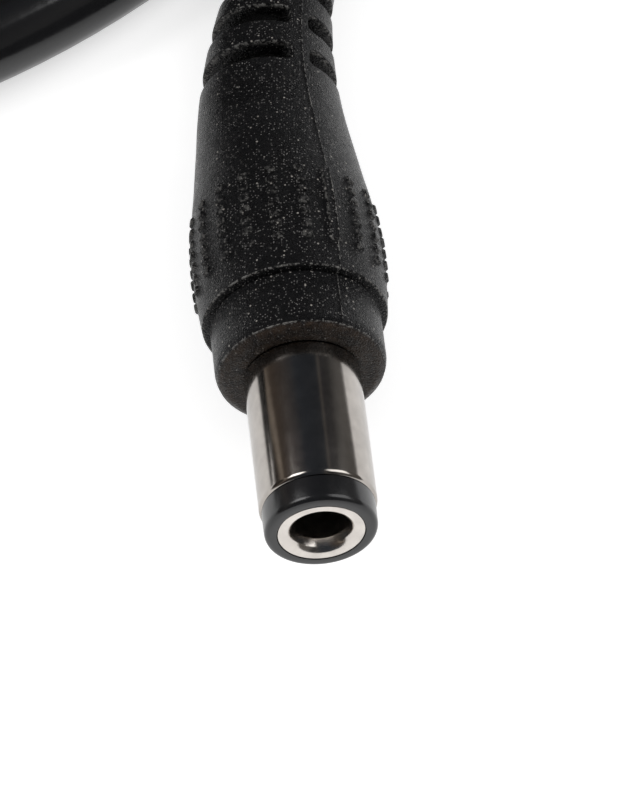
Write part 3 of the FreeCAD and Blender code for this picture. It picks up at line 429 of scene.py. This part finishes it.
# %% [markdown]
# The black pieces of the lead differ in the mould they came from. The grip's mould was spark
# eroded, which leaves a fine sand that glints, and use has added pale dust and flash, and brown
# grime in the corner round the sleeve. Pale specks stand for the dust and also paint the sand's
# glints, pale edges and bump flanks are painted highlights, and the insides of the slots are
# painted shade. The grain could be modelled, but at a tenth of a millimetre it is better drawn as
# bumps in the finish.

# %% A sanded, used plastic with painted highlights and shade
# Pale specks are dust and also painted glints of the sand.
FINE_DUST_AND_GLINT, COARSE_DUST_AND_GLINT = (0.15, 0.145, 0.14), (0.32, 0.3, 0.275)
# Grime is brown dirt; the second colour is pale dust on the seam and painted highlight on edges and
# bump flanks; the third is painted shade for the insides of the slots.
GRIME, DUST_AND_HIGHLIGHT, SLOT_SHADE_TINT = (0.05, 0.033, 0.022), (0.3, 0.29, 0.275), (0.0015, 0.0015, 0.0015)


def marked(tree, name):
    """Read a mark that a skin's points carry; 0 where there is none."""
    mark = tree.nodes.new("ShaderNodeAttribute")
    mark.attribute_name = name
    return mark.outputs["Fac"]


def specks(tree, spacing, radius, share):
    """1 in round specks, in a share of the cells of a grid; spacing and radius in millimetres."""
    place = tree.nodes.new("ShaderNodeTexCoord")
    cells = tree.nodes.new("ShaderNodeTexVoronoi")
    cells.inputs["Scale"].default_value = 1 / (spacing * MM)
    tree.links.new(place.outputs["Object"], cells.inputs["Vector"])
    chance = tree.nodes.new("ShaderNodeSeparateColor")
    tree.links.new(cells.outputs["Color"], chance.inputs[0])
    near = spread(tree, cells.outputs["Distance"], 1, 0, 0.6 * radius / spacing, radius / spacing)
    lucky = spread(tree, chance.outputs["Red"], 1, 0, share, share + 0.01)
    return reckoned(tree, "MULTIPLY", near, lucky)


def sanded(name, colour, dust_and_glint=0.12):
    """Keep spark-eroded black plastic by its name: sand grain, dust with painted glints, grime,
    painted highlights and painted slot shade.
    """
    material, tree, shader = new_material(name)
    dark, light = tuple(c * 0.7 for c in colour), tuple(c * 1.3 for c in colour)
    look = blended(tree, spread(tree, noise(tree, 3.0), 0, 1), dark, light)
    # Pale specks: dust, and painted glints of the sand.
    look = blended(tree, specks(tree, 0.12, 0.04, 4 * dust_and_glint), look, FINE_DUST_AND_GLINT)
    look = blended(tree, specks(tree, 0.32, 0.06, 2 * dust_and_glint), look, COARSE_DUST_AND_GLINT)
    # Grime round the sleeve is dirt; the pale mark is dust on the seam and painted highlight
    # elsewhere.
    for mark, patches, tint in (
            ("grime", spread(tree, noise(tree, 0.5), 0.1, 0.9), GRIME),
            ("dust_and_highlight", spread(tree, noise(tree, 0.2), 0.0, 1.0, 0.46, 0.6), DUST_AND_HIGHLIGHT)):
        amount = reckoned(tree, "MULTIPLY", marked(tree, mark), patches)
        look = blended(tree, amount, look, tint)
    # Painted shade: the insides of the slots are coloured near black, over the specks.
    look = blended(tree, marked(tree, "slot_shade"), look, SLOT_SHADE_TINT)
    tree.links.new(look, shader.inputs["Base Color"])
    shader.inputs["Specular IOR Level"].default_value = 0.12
    tree.links.new(spread(tree, noise(tree, 0.9), 0.2, 0.34), shader.inputs["Roughness"])
    sand = raised(tree, noise(tree, 0.075, detail=1.0), 0.13)
    rough = raised(tree, noise(tree, 0.3, detail=1.0), 0.03, sand)
    tree.links.new(rough, shader.inputs["Normal"])
    FINISHES[name] = material


print("the sanded plastic is ready")

# %% [markdown]
# The rest of the lead is plainer: the cord's jacket is drawn and nearly glossy, the tip ring is
# polished, and the metal is nickel plated, darker and glossier on the sleeve than on the worn mouth
# of the contact.

# %% Finishes of the lead
finish("cord_jacket", (0.012, 0.012, 0.013), 0.16, drift=0.15, patch=9, grain=0.6, depth=0.006)
sanded("grip_plastic", (0.0055, 0.0055, 0.006))
finish("tip_plastic", (0.01, 0.01, 0.011), 0.22, drift=0.2, patch=2, grain=0.1, depth=0.002)
finish("core_plastic", (0.75, 0.74, 0.7), 0.45, drift=0.06, patch=3)
finish("nickel", (0.35, 0.325, 0.302), 0.14, 1.0, drift=0.12, patch=0.9, grain=0.3, depth=0.0015)
finish("worn_nickel", (0.56, 0.525, 0.49), 0.2, 1.0, drift=0.1, patch=1, grain=0.2, depth=0.003)
finish("pin_metal", (0.72, 0.72, 0.7), 0.2, 1.0, drift=0.05, patch=4, grain=0.3, depth=0.002)
print(len(FINISHES), "finishes of the lead")

# %% [markdown]
# The brick and its insides are everyday parts of a power supply, each with its usual colour.

# %% Finishes of the brick
finish("case_plastic", (0.02, 0.02, 0.021), 0.45, drift=0.15, patch=20, grain=0.35, depth=0.03)
finish("inlet_plastic", (0.016, 0.016, 0.017), 0.35, drift=0.15, patch=8, grain=0.2)
finish("foot_rubber", (0.035, 0.035, 0.035), 0.75, patch=3, grain=0.2, depth=0.02)
finish("label_film", (0.06, 0.06, 0.065), 0.35, drift=0.05, patch=15, grain=0.4, depth=0.004)
finish("clear_plastic", (0.75, 0.9, 0.78), 0.1, drift=0.03, patch=2, grain=0.4, depth=0.001)
finish("board_laminate", (0.05, 0.16, 0.06), 0.4, drift=0.2, patch=5, grain=0.4, depth=0.02)
finish("sheet_film", (0.55, 0.53, 0.42), 0.4, drift=0.06, patch=12, grain=0.5, depth=0.01)
finish("aluminium_sheet", (0.78, 0.78, 0.79), 0.3, 1.0, drift=0.05, patch=8, grain=0.2,
       depth=0.006, along=(8, 1, 1))
finish("ferrite", (0.03, 0.03, 0.032), 0.6, patch=2, grain=0.2, depth=0.02)
finish("copper_wire", (0.55, 0.22, 0.1), 0.3, 0.9, drift=0.15, patch=2, grain=0.4,
       depth=0.08, along=(0.6, 12, 12))
finish("yellow_tape", (0.72, 0.48, 0.06), 0.4, drift=0.08, patch=6, grain=1.2, depth=0.03,
       along=(12, 12, 0.5))
finish("black_epoxy", (0.02, 0.02, 0.02), 0.55, patch=2, grain=0.1, depth=0.012)
finish("blue_coat", (0.03, 0.12, 0.42), 0.3, patch=2, grain=0.6, depth=0.03)
finish("green_coat", (0.05, 0.2, 0.1), 0.35, patch=2, grain=0.6, depth=0.03)
finish("yellow_box", (0.7, 0.5, 0.08), 0.4, drift=0.06, patch=5, grain=0.5, depth=0.01)
finish("can_sleeve", (0.03, 0.035, 0.05), 0.3, patch=5, grain=1.5, depth=0.02)
finish("wire_insulation", (0.35, 0.04, 0.03), 0.4, drift=0.3, patch=3, grain=0.4)
finish("thermal_silicone", (0.55, 0.56, 0.6), 0.7, patch=2, grain=0.3, depth=0.02)
finish("led_resin", (0.2, 0.75, 0.25), 0.15, drift=0.05, patch=1, grain=0.4, depth=0.001)
print(len(FINISHES), "finishes in all")

# %% [markdown]
# A node that keeps its own shape takes the finish that its record names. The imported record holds
# each node with its slot, so the pairs are read from there.

# %% Dress the kept nodes
def dress(piece, slot, special=None):
    """Give a piece one finish, its slot's own or a special one."""
    piece.data.materials.clear()
    piece.data.materials.append(FINISHES[special or slot])


for entry in frame["record"]["subparts"]:
    dress(nodes[entry["node"]], entry["material_slot"])
lead.data.materials.append(FINISHES["cord_jacket"])

# %% [markdown]
# The brick's rigid pieces keep their shape, but no moulded edge is razor sharp. A narrow bevel
# softens them, and where the two shells meet it leaves the fine seam that real ones show.

# %% Soften the brick's edges
SHARP = math.radians(35)


def bevel_edges(names, width):
    """Round the sharp edges of kept nodes by a width in millimetres."""
    for name in names:
        piece = nodes[name]
        weld = piece.modifiers.new("joined", "WELD")
        weld.merge_threshold = 1e-6
        bevel = piece.modifiers.new("soft_edges", "BEVEL")
        bevel.width = width * MM
        bevel.segments = 2
        bevel.limit_method = "ANGLE"
        bevel.angle_limit = SHARP
        bevel.harden_normals = False
        piece.modifiers.new("even_shading", "WEIGHTED_NORMAL").keep_sharp = False
    print(len(names), "nodes with edges softened by", width, "mm")


bevel_edges(("case_top_shell", "case_bottom_shell"), 0.22)
bevel_edges(("inlet_body", "rubber_feet"), 0.25)
bevel_edges(("inlet_line_pin", "inlet_neutral_pin", "inlet_earth_pin"), 0.3)

# %% [markdown]
# Turned and moulded pieces are skins of rings: each ring is a closed line of points, and quads
# join it to the next. A loop of rings that comes back to its start is a closed solid. Corners
# of a profile are softened first, because no real edge is perfectly sharp and a soft one
# catches the light.

# %% Skins of rings
SAME_POINT = 1e-7


def skin(name, rings, slot, smooth_angle=50, special=None, marks=None):
    """A closed mesh through rings of equally many points; the last ring joins the first.

    Marks are named values, one for each point, that a material can read.
    """
    count = len(rings[0])
    points = [point for ring in rings for point in ring]
    faces = []
    for i in range(len(rings)):
        after = (i + 1) % len(rings)
        for j in range(count):
            k = (j + 1) % count
            faces.append((i * count + j, i * count + k, after * count + k, after * count + j))
    mesh = bpy.data.meshes.new(name)
    mesh.from_pydata(points, [], faces)
    for mark, values in (marks or {}).items():
        mesh.attributes.new(mark, "FLOAT", "POINT").data.foreach_set("value", values)
    shaped = bmesh.new()
    shaped.from_mesh(mesh)
    bmesh.ops.remove_doubles(shaped, verts=shaped.verts, dist=SAME_POINT)
    bmesh.ops.recalc_face_normals(shaped, faces=shaped.faces)
    shaped.to_mesh(mesh)
    shaped.free()
    mesh.shade_smooth()
    mesh.set_sharp_from_angle(angle=math.radians(smooth_angle))
    piece = bpy.data.objects.new(name, mesh)
    bpy.context.scene.collection.objects.link(piece)
    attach(piece, "root")
    dress(piece, slot, special)
    print(name, len(mesh.polygons), "faces")
    return piece


def rounded_profile(profile, steps):
    """A profile of (radius, station, softness) corners with each corner drawn as a small arc."""
    points = []
    for i, (radius, station, soft) in enumerate(profile):
        corner = Vector((radius, station))
        if not soft:
            points.append(corner)
            continue
        before, after = (Vector(profile[j % len(profile)][:2]) for j in (i - 1, i + 1))
        start = corner + (before - corner).normalized() * soft
        end = corner + (after - corner).normalized() * soft
        for n in range(steps + 1):
            t = n / steps
            points.append(start * (1 - t) ** 2 + corner * 2 * t * (1 - t) + end * t ** 2)
    return points


def round_point(place, radius, turn, station=0):
    """A point at a radius and an angle about a frame's middle line."""
    return place @ at(radius * math.cos(turn), radius * math.sin(turn), station)


def turned(name, profile, slot, sides, steps, special=None):
    """A piece turned about the plug's middle line from a closed profile."""
    rings = [[round_point(plug_frame, radius, 2 * math.pi * j / sides, station)
              for j in range(sides)] for radius, station in rounded_profile(profile, steps)]
    return skin(name, rings, slot, special=special)


print("skins are ready")

# %% [markdown]
# The sleeve is drawn nickel-plated brass with a rolled front lip. It is the brightest thing in
# the picture, and its shape is plain, so its edges and its reflections do the work. The black tip
# ring runs back inside it as its insulation, and the contact is a tube with a flared mouth that
# years of use have rubbed. Each corner is a radius, a station and the softness of its edge.

# %% Sleeve, tip ring and centre contact
sleeve = turned("plug_sleeve_drawn", [
    (2.40, 1.38, 0.08), (2.75, 1.38, 0.24), (2.75, 8.98, 0.04), (2.58, 8.98, 0), (2.58, 10.0, 0),
    (3.25, 10.0, 0.1), (3.25, 12.8, 0.1), (2.40, 12.8, 0)], "nickel", 160, 6)
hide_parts("plug_sleeve")

tip_ring = turned("plug_tip_ring", [
    (2.06, 0.0, 0.04), (2.627, 0.0, 0.3), (2.647, 1.355, 0.03), (2.35, 1.355, 0), (2.35, 12.95, 0),
    (1.80, 12.95, 0), (1.80, 0.85, 0), (2.06, 0.85, 0)], "tip_plastic", 128, 6)
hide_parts("plug_insulator")

contact = turned("plug_contact_funnel", [
    (1.64, 0.0, 0.13), (2.045, 0.0, 0.1), (2.045, 0.8, 0.03), (1.75, 0.8, 0), (1.75, 10.0, 0),
    (0.8, 10.0, 0), (0.8, 15.0, 0), (0.0, 15.0, 0), (0.0, 8.5, 0), (1.25, 8.5, 0),
    (1.25, 0.62, 0.06), (1.44, 0.16, 0.12)], "nickel", 128, 8, special="worn_nickel")
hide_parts("plug_centre_contact")

# %% [markdown]
# The grip is one black moulding: a nose, a groove, a rounded barrel with rows of small bumps, a
# plain bar along the parting line at each side, and a slotted strain relief. It could be joined
# from separate solids, but a single skin whose radius is worked out for every point gives soft,
# moulded edges everywhere, so that is the way taken here. A station is a distance behind the tip.

# %% The grip's plain radius
CORD_RADIUS = CORD / 2
NOSE_START, NOSE_EDGE, NOSE_RADIUS = 9.08, 0.58, 4.03
NOSE_LINE, NOSE_LINE_RISE, NOSE_LINE_HALF = 9.3, 0.035, 0.06
GROOVE_START, GROOVE_WIDTH, GROOVE_DEPTH, GROOVE_SLOPE = 12.14, 0.1, 0.1, 0.03
BARREL_START, BARREL_END, BARREL_EDGE = 12.28, 19.8, 0.06
BARREL_FRONT, BARREL_REAR, BARREL_BULGE = 4.38, 4.13, 27.0
TAPER = ((BARREL_END, BARREL_REAR), (RELIEF_START, 3.70), (TIGHTER_START, 2.64), (RELIEF_END, 2.42))
RELIEF_EDGE = 0.15


def eased(low, high, value):
    """0 below low, 1 above high, and a smooth step between."""
    t = min(max((value - low) / (high - low), 0), 1)
    return t * t * (3 - 2 * t)


def rounded_edge(into, radius):
    """How far a rounded edge has dropped, at a distance in from its end."""
    left = min(max(radius - into, 0), radius)
    return radius - math.sqrt(radius * radius - left * left)


def nose_radius(s):
    """The radius from the nose to the foot of the barrel, through the groove."""
    radius = NOSE_RADIUS - rounded_edge(s - NOSE_START, NOSE_EDGE)
    radius -= GROOVE_DEPTH * eased(GROOVE_START - GROOVE_SLOPE, GROOVE_START + GROOVE_SLOPE, s)
    radius += NOSE_LINE_RISE * max(0, 1 - abs(s - NOSE_LINE) / NOSE_LINE_HALF)
    step_up = BARREL_FRONT - BARREL_EDGE - NOSE_RADIUS + GROOVE_DEPTH
    return radius + step_up * eased(GROOVE_START + GROOVE_WIDTH, BARREL_START, s)


def grip_radius(s):
    """The outside radius of the grip, with its groove but without bumps or slots."""
    if s < BARREL_START:
        return nose_radius(s)
    if s < BARREL_END:
        share = (s - BARREL_START) / (BARREL_END - BARREL_START)
        bulge = (s - BARREL_START) * (BARREL_END - s) / (2 * BARREL_BULGE)
        level = BARREL_FRONT * (1 - share) + BARREL_REAR * share + bulge
        return level - rounded_edge(s - BARREL_START, BARREL_EDGE)
    for (begin, wide), (end, narrow) in zip(TAPER, TAPER[1:]):
        if s <= end:
            radius = wide + (narrow - wide) * (s - begin) / (end - begin)
            return radius - rounded_edge(RELIEF_END - s, RELIEF_EDGE)
    return TAPER[-1][1]


print("barrel radius", round(grip_radius(13), 2), "to", round(grip_radius(BARREL_END), 2), "mm")

# %% [markdown]
# Twenty rows go round the barrel, and two of them are plain bars on the parting line. A bump is
# a small pad with a soft edge all round, and no two came out of the worn mould quite the same.
# The slots go down to the cord, with rounded ends and edges, and leave a web along the parting
# line at each side.

# %% Bumps and slots
ROWS, BUMPS = 20, 7
BUMP_START, BUMP_PITCH, BUMP_LENGTH, BUMP_WIDTH, BUMP_RISE = 13.76, 0.68, 0.44, 0.52, 0.14
BAR_WIDTH, FLANK = 0.66, 0.115
BUMP_END = BUMP_START + (BUMPS - 1) * BUMP_PITCH + BUMP_LENGTH
GRIP_SLOTS = dict(start=25.78, pitch=2.52, width=1.1, count=5, web=0.98)
SLOT_CORNER, SLOT_EDGE, SLOT_WALL = 0.36, 0.13, 0.05
PARTING = math.radians(28.3)

dice = random.Random(11)
UNEVEN = [[(dice.uniform(-0.03, 0.03), dice.uniform(0.8, 1.08)) for number in range(BUMPS)]
          for row in range(ROWS)]


def is_bar(row):
    """Two rows, opposite each other, are bars."""
    return row % (ROWS // 2) == 0


def pad_height(along, across, half_length, half_width):
    """1 on top of a pad and 0 beside it, with one soft flank all round."""
    beyond = math.hypot(max(abs(along) - half_length + FLANK, 0),
                        max(abs(across) - half_width + FLANK, 0))
    return 1 - eased(0, FLANK * 1.15, beyond)


def bump_height(s, row, offset):
    """How far the skin stands out for the bumps, at a sideways offset from a row's middle."""
    if is_bar(row):
        middle = (BUMP_START + BUMP_END) / 2
        half_length = (BUMP_END - BUMP_START) / 2
        return BUMP_RISE * pad_height(s - middle, offset, half_length, BAR_WIDTH / 2)
    number = round((s - BUMP_START - BUMP_LENGTH / 2) / BUMP_PITCH)
    if not 0 <= number < BUMPS:
        return 0
    shift, size = UNEVEN[row][number]
    middle = BUMP_START + BUMP_LENGTH / 2 + number * BUMP_PITCH + shift
    return BUMP_RISE * size * pad_height(s - middle, offset, BUMP_LENGTH / 2, BUMP_WIDTH / 2)


def slot_gap(s, sideways, start, pitch, width, count, web):
    """Distance to the edge of the nearest slot, below 0 inside it, for slots with round corners."""
    nearest = min(max(round((s - start - width / 2) / pitch), 0), count - 1)
    along = abs(s - start - width / 2 - nearest * pitch) - width / 2 + SLOT_CORNER
    across = web / 2 - abs(sideways) + SLOT_CORNER
    return min(max(along, across), 0) + math.hypot(max(along, 0), max(across, 0)) - SLOT_CORNER


def slotted(radius, gap, bottom):
    """A radius cut down to a bottom inside a slot, its edge rounded over."""
    dropped = radius - rounded_edge(gap, SLOT_EDGE)
    return dropped + (bottom - dropped) * eased(0, SLOT_WALL, -gap)


print("bumps from", BUMP_START, "to", round(BUMP_END, 2), "mm behind the tip")

# %% [markdown]
# The columns of the skin stand where something happens: at the flanks of every bump, at the ends
# of the slots, and at the hair of flash that the mould's two halves left along the parting line.
# The rings stand the same way along the plug. That keeps the mesh small and its edges crisp. Three
# marks go with the points for the finish to read: a pale tint, which is dust on the seam and
# painted highlight on the seam, the bump flanks, the nose line, the barrel's front edge and the
# slots' rear edges; grime round the sleeve; and painted shade inside the slots.

# %% The grip's skin
ROW_RADIUS = 4.4
SEAM_OFFSET, SEAM_WIDTH, SEAM_RISE = 0.09, 0.032, 0.022
WEB_ENDS = (6.5, 7.6, 8.6, 9.5, 10.4, 11.4, 12.6)
BETWEEN_ROWS = [0.5, 0.69, 0.88]
NOSE_ARC = (8, 22, 38, 54, 72, 90)
GROOVE_STATIONS = [10.3, 11.0, 11.6, 12.0, 12.09, 12.11, GROOVE_START, 12.17, 12.21, 12.24, 12.255,
                   12.27, BARREL_START, 12.29, 12.31, 12.34, 12.4, 12.7, 13.1, 13.4, 13.6]
TAPER_STATIONS = [BUMP_END + 0.2, BUMP_END + 0.5, 19.4, BARREL_END, 20.4, 21.0, 21.6, 22.2,
                  RELIEF_START, 23.6, 24.2, 24.7, 25.1]
END_STATIONS = [37.4, 37.9, 38.25, 38.32, 38.37, RELIEF_END]
GRIP_GAPS = (0.45, 0.2, 0.13, 0.1, 0.065, 0.03, 0, -0.02, -0.035, -0.05, -0.25)


def on_flanks(half):
    """Offsets across a pad of a half width, denser at its flanks."""
    side = [half - FLANK * share for share in (-0.35, -0.15, 0.1, 0.35, 0.6, 0.85, 1.1)]
    return [-offset for offset in side] + [0.0] + side[::-1]


def across_slots(gaps, start, pitch, width, count, web):
    """Stations across a row of slots, at given gaps outside and inside each slot's edges."""
    stations = []
    for i in range(count):
        middle = start + i * pitch + width / 2
        side = [width / 2 + gap for gap in gaps]
        stations += [middle - gap for gap in side] + [middle] + [middle + gap for gap in side[::-1]]
    return stations


def grip_columns():
    """(angle, row, offset from the row's middle) of each column, all round."""
    columns = []
    for row in range(ROWS):
        turn = 2 * math.pi * row / ROWS
        if is_bar(row):
            seam = [SEAM_OFFSET + SEAM_WIDTH * share for share in (-1, -0.5, 0, 0.5, 1)]
            ends = [math.radians(angle) * ROW_RADIUS for angle in WEB_ENDS]
            offsets = [offset for offset in on_flanks(BAR_WIDTH / 2) if offset] + seam
            offsets = sorted(offsets + ends + [-offset for offset in ends])
        else:
            offsets = on_flanks(BUMP_WIDTH / 2)
            if not is_bar(row + 1):
                offsets += BETWEEN_ROWS
        columns += [(turn + offset / ROW_RADIUS, row, offset) for offset in offsets]
    return columns


def grip_stations():
    """Stations along the grip, denser at the nose, the groove, the bumps and the slots."""
    nose = [NOSE_START + NOSE_EDGE * (1 - math.cos(math.radians(angle))) for angle in NOSE_ARC]
    line = [NOSE_LINE + offset for offset in (-NOSE_LINE_HALF, 0, NOSE_LINE_HALF)]
    stations = sorted(nose + line) + GROOVE_STATIONS
    for i in range(BUMPS):
        middle = BUMP_START + BUMP_LENGTH / 2 + i * BUMP_PITCH
        stations += [middle + offset for offset in on_flanks(BUMP_LENGTH / 2)]
    return stations + TAPER_STATIONS + across_slots(GRIP_GAPS, **GRIP_SLOTS) + END_STATIONS


COLUMNS = grip_columns()
print(len(COLUMNS), "columns and", len(grip_stations()), "outside rings")

# %% [markdown]
# Every point of the grip now gets its place and its three marks. Inside, the moulding is hollow
# for the wires and the inner mould, and it closes on the sleeve with a small grimy lip.

# %% The grip
# Painted highlights: a pale nose line and barrel front edge, a pale strip on each slot's rear edge,
# and pale bump flanks.
SEAM_START, EDGE_HIGHLIGHT_SPAN, RIM_HIGHLIGHT_WIDTH = NOSE_START + 0.2, (12.27, 12.32), 0.05
LINE_HIGHLIGHT, SLOT_RIM_HIGHLIGHT, BUMP_FLANK_HIGHLIGHT = 0.75, 0.55, 1.6
# The first value is how far into a slot the painted shade takes to reach full strength.
SLOT_SHADE_RAMP, GRIME_EDGE, SLOT_FLOOR = 0.06, 0.1, CORD_RADIUS + 0.03
HOLLOW_INSIDE = ((RELIEF_END, 0.6, 0), (22.3, 0.6, 0), (22.0, 3.3, 0), (19.6, 3.3, 0),
                 (9.95, 3.3, 0))
GRIMY_LIP = ((9.95, 2.63, 1), (9.2, 2.63, 1), (9.1, 2.68, 1), (NOSE_START, 2.75, 1),
             (NOSE_START, 3.0, 1), (NOSE_START, 3.25, 0.6))


def grip_marks(s, ridge, bump, gap):
    """Pale dust and painted highlight, grime, and painted slot shade of a point of the grip, each
    up to 1.
    """
    # Pale bump flanks and pale edge lines are painted highlights; the seam's pale ridge is dust and
    # painted highlight.
    flank_highlight = BUMP_FLANK_HIGHLIGHT * bump / BUMP_RISE * max(0, 1 - bump / BUMP_RISE)
    if s == NOSE_LINE or EDGE_HIGHLIGHT_SPAN[0] < s < EDGE_HIGHLIGHT_SPAN[1]:
        edge_highlight = LINE_HIGHLIGHT
    else:
        rear_half = (s - GRIP_SLOTS["start"]) % GRIP_SLOTS["pitch"] > GRIP_SLOTS["width"] / 2
        edge_highlight = SLOT_RIM_HIGHLIGHT * (rear_half and 0 <= gap < RIM_HIGHLIGHT_WIDTH)
    grime = 1 - eased(NOSE_LINE - GRIME_EDGE, NOSE_LINE, s) if s < NOSE_LINE else 0
    return max(ridge, edge_highlight, flank_highlight), grime, eased(0, SLOT_SHADE_RAMP, -gap)


def grip_ring(s):
    """The outside ring of the grip at a station: points, each with its marks."""
    place, plain, ring = grip_axis(s), grip_radius(s), []
    for angle, row, offset in COLUMNS:
        gap = slot_gap(s, plain * math.sin(angle), **GRIP_SLOTS)
        off_seam = abs(offset - SEAM_OFFSET)
        on_seam = is_bar(row) and off_seam < 0.9 * SEAM_WIDTH and s > SEAM_START
        ridge = 1 - off_seam / SEAM_WIDTH if on_seam else 0
        bump = bump_height(s, row, offset)
        radius = slotted(plain + bump + SEAM_RISE * ridge, gap, SLOT_FLOOR)
        point = round_point(place, radius, angle + PARTING - math.pi / 2)
        ring.append((point, *grip_marks(s, ridge, bump, gap)))
    return ring


def plain_ring(s, radius, grime):
    """A round ring with the grip's columns: points, each with its marks."""
    place = grip_axis(s)
    return [(round_point(place, radius, angle + PARTING - math.pi / 2), 0, grime, 0)
            for angle, row, offset in COLUMNS]


rings = [grip_ring(s) for s in grip_stations()]
rings += [plain_ring(*ring) for ring in HOLLOW_INSIDE + GRIMY_LIP]
marks = {name: [point[i] for ring in rings for point in ring]
         for i, name in ((1, "dust_and_highlight"), (2, "grime"), (3, "slot_shade"))}
grip = skin("plug_grip_moulding", [[point[0] for point in ring] for ring in rings],
            "grip_plastic", 60, marks=marks)
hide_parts("plug_grip")

# %% [markdown]
# At the brick the cord leaves through a rubbery gland: a flange inside the wall, a neck through
# it, a collar outside and a slotted taper. Its slots are made like the grip's, so the same
# functions cut them here.

# %% The gland
GLAND_TURNS = [math.radians(angle) for angle in range(0, 360, 4)]
GLAND_SLOTS = dict(start=6.0, pitch=2.6, width=1.2, count=7, web=0.95)
GLAND_GAPS = (0.45, 0.13, 0.08, 0.03, 0, -0.02, -0.05, -0.2)
COLLAR_START, COLLAR_END, COLLAR_EDGE, GLAND_EDGE = 0.15, 2.15, 0.35, 0.3
GLAND_PROFILE = ((COLLAR_START, 5.6), (COLLAR_END, 5.6), (2.3, 4.3), (GLAND_LENGTH, 2.75))
SLOTS_AFTER, GLAND_FLOOR = 4, CORD_RADIUS + 0.05
COLLAR_STATIONS = [COLLAR_START, 0.2, 0.3, 0.5, 1.2, 1.8, 2.0, 2.1, COLLAR_END, 2.3, 3.0, 4.2, 5.0]
GLAND_END_STATIONS = [24.2, 25.0, 25.7, 25.85, 25.95, GLAND_LENGTH]
GLAND_INSIDE = ((GLAND_LENGTH, 1.2), (-4.15, 1.2), (-4.15, 5.6), (-2.35, 5.6), (-2.35, 4.6),
                (COLLAR_START, 4.6))


def gland_place(s):
    """The gland's frame: Z runs out along the cord, and its webs lie above and below."""
    start = Matrix.Translation(at(BRICK_END + s, 0, LEAD_HEIGHT))
    return start @ Matrix.Rotation(math.pi / 2, 4, "Y")


def gland_radius(s):
    """Collar and taper, with soft outer edges."""
    for (begin, wide), (end, narrow) in zip(GLAND_PROFILE, GLAND_PROFILE[1:]):
        if s <= end:
            radius = wide + (narrow - wide) * (s - begin) / (end - begin)
            if s <= COLLAR_END:
                return radius - rounded_edge(min(s - COLLAR_START, COLLAR_END - s), COLLAR_EDGE)
            return radius - rounded_edge(GLAND_LENGTH - s, GLAND_EDGE)
    return GLAND_PROFILE[-1][1]


def gland_ring(s):
    """One outside ring of the gland, cut down where a slot passes."""
    plain, ring = gland_radius(s), []
    for turn in GLAND_TURNS:
        radius = plain
        if s > SLOTS_AFTER:
            radius = slotted(plain, slot_gap(s, plain * math.sin(turn), **GLAND_SLOTS), GLAND_FLOOR)
        ring.append(round_point(gland_place(s), radius, turn))
    return ring


gland_rings = [gland_ring(s) for s in COLLAR_STATIONS + across_slots(GLAND_GAPS, **GLAND_SLOTS)
               + GLAND_END_STATIONS]
gland_rings += [[round_point(gland_place(s), radius, turn) for turn in GLAND_TURNS]
                for s, radius in GLAND_INSIDE]
gland = skin("cord_gland_moulding", gland_rings, "grip_plastic", 50)
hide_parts("cord_gland")

# %% [markdown]
# The lead is a free cord, and its length is printed.

print("the lead is 1.36 m long")

# %% [markdown]
# Last, colours are shown with the standard view transform.

# %% View transform
bpy.context.scene.view_settings.view_transform = "Standard"
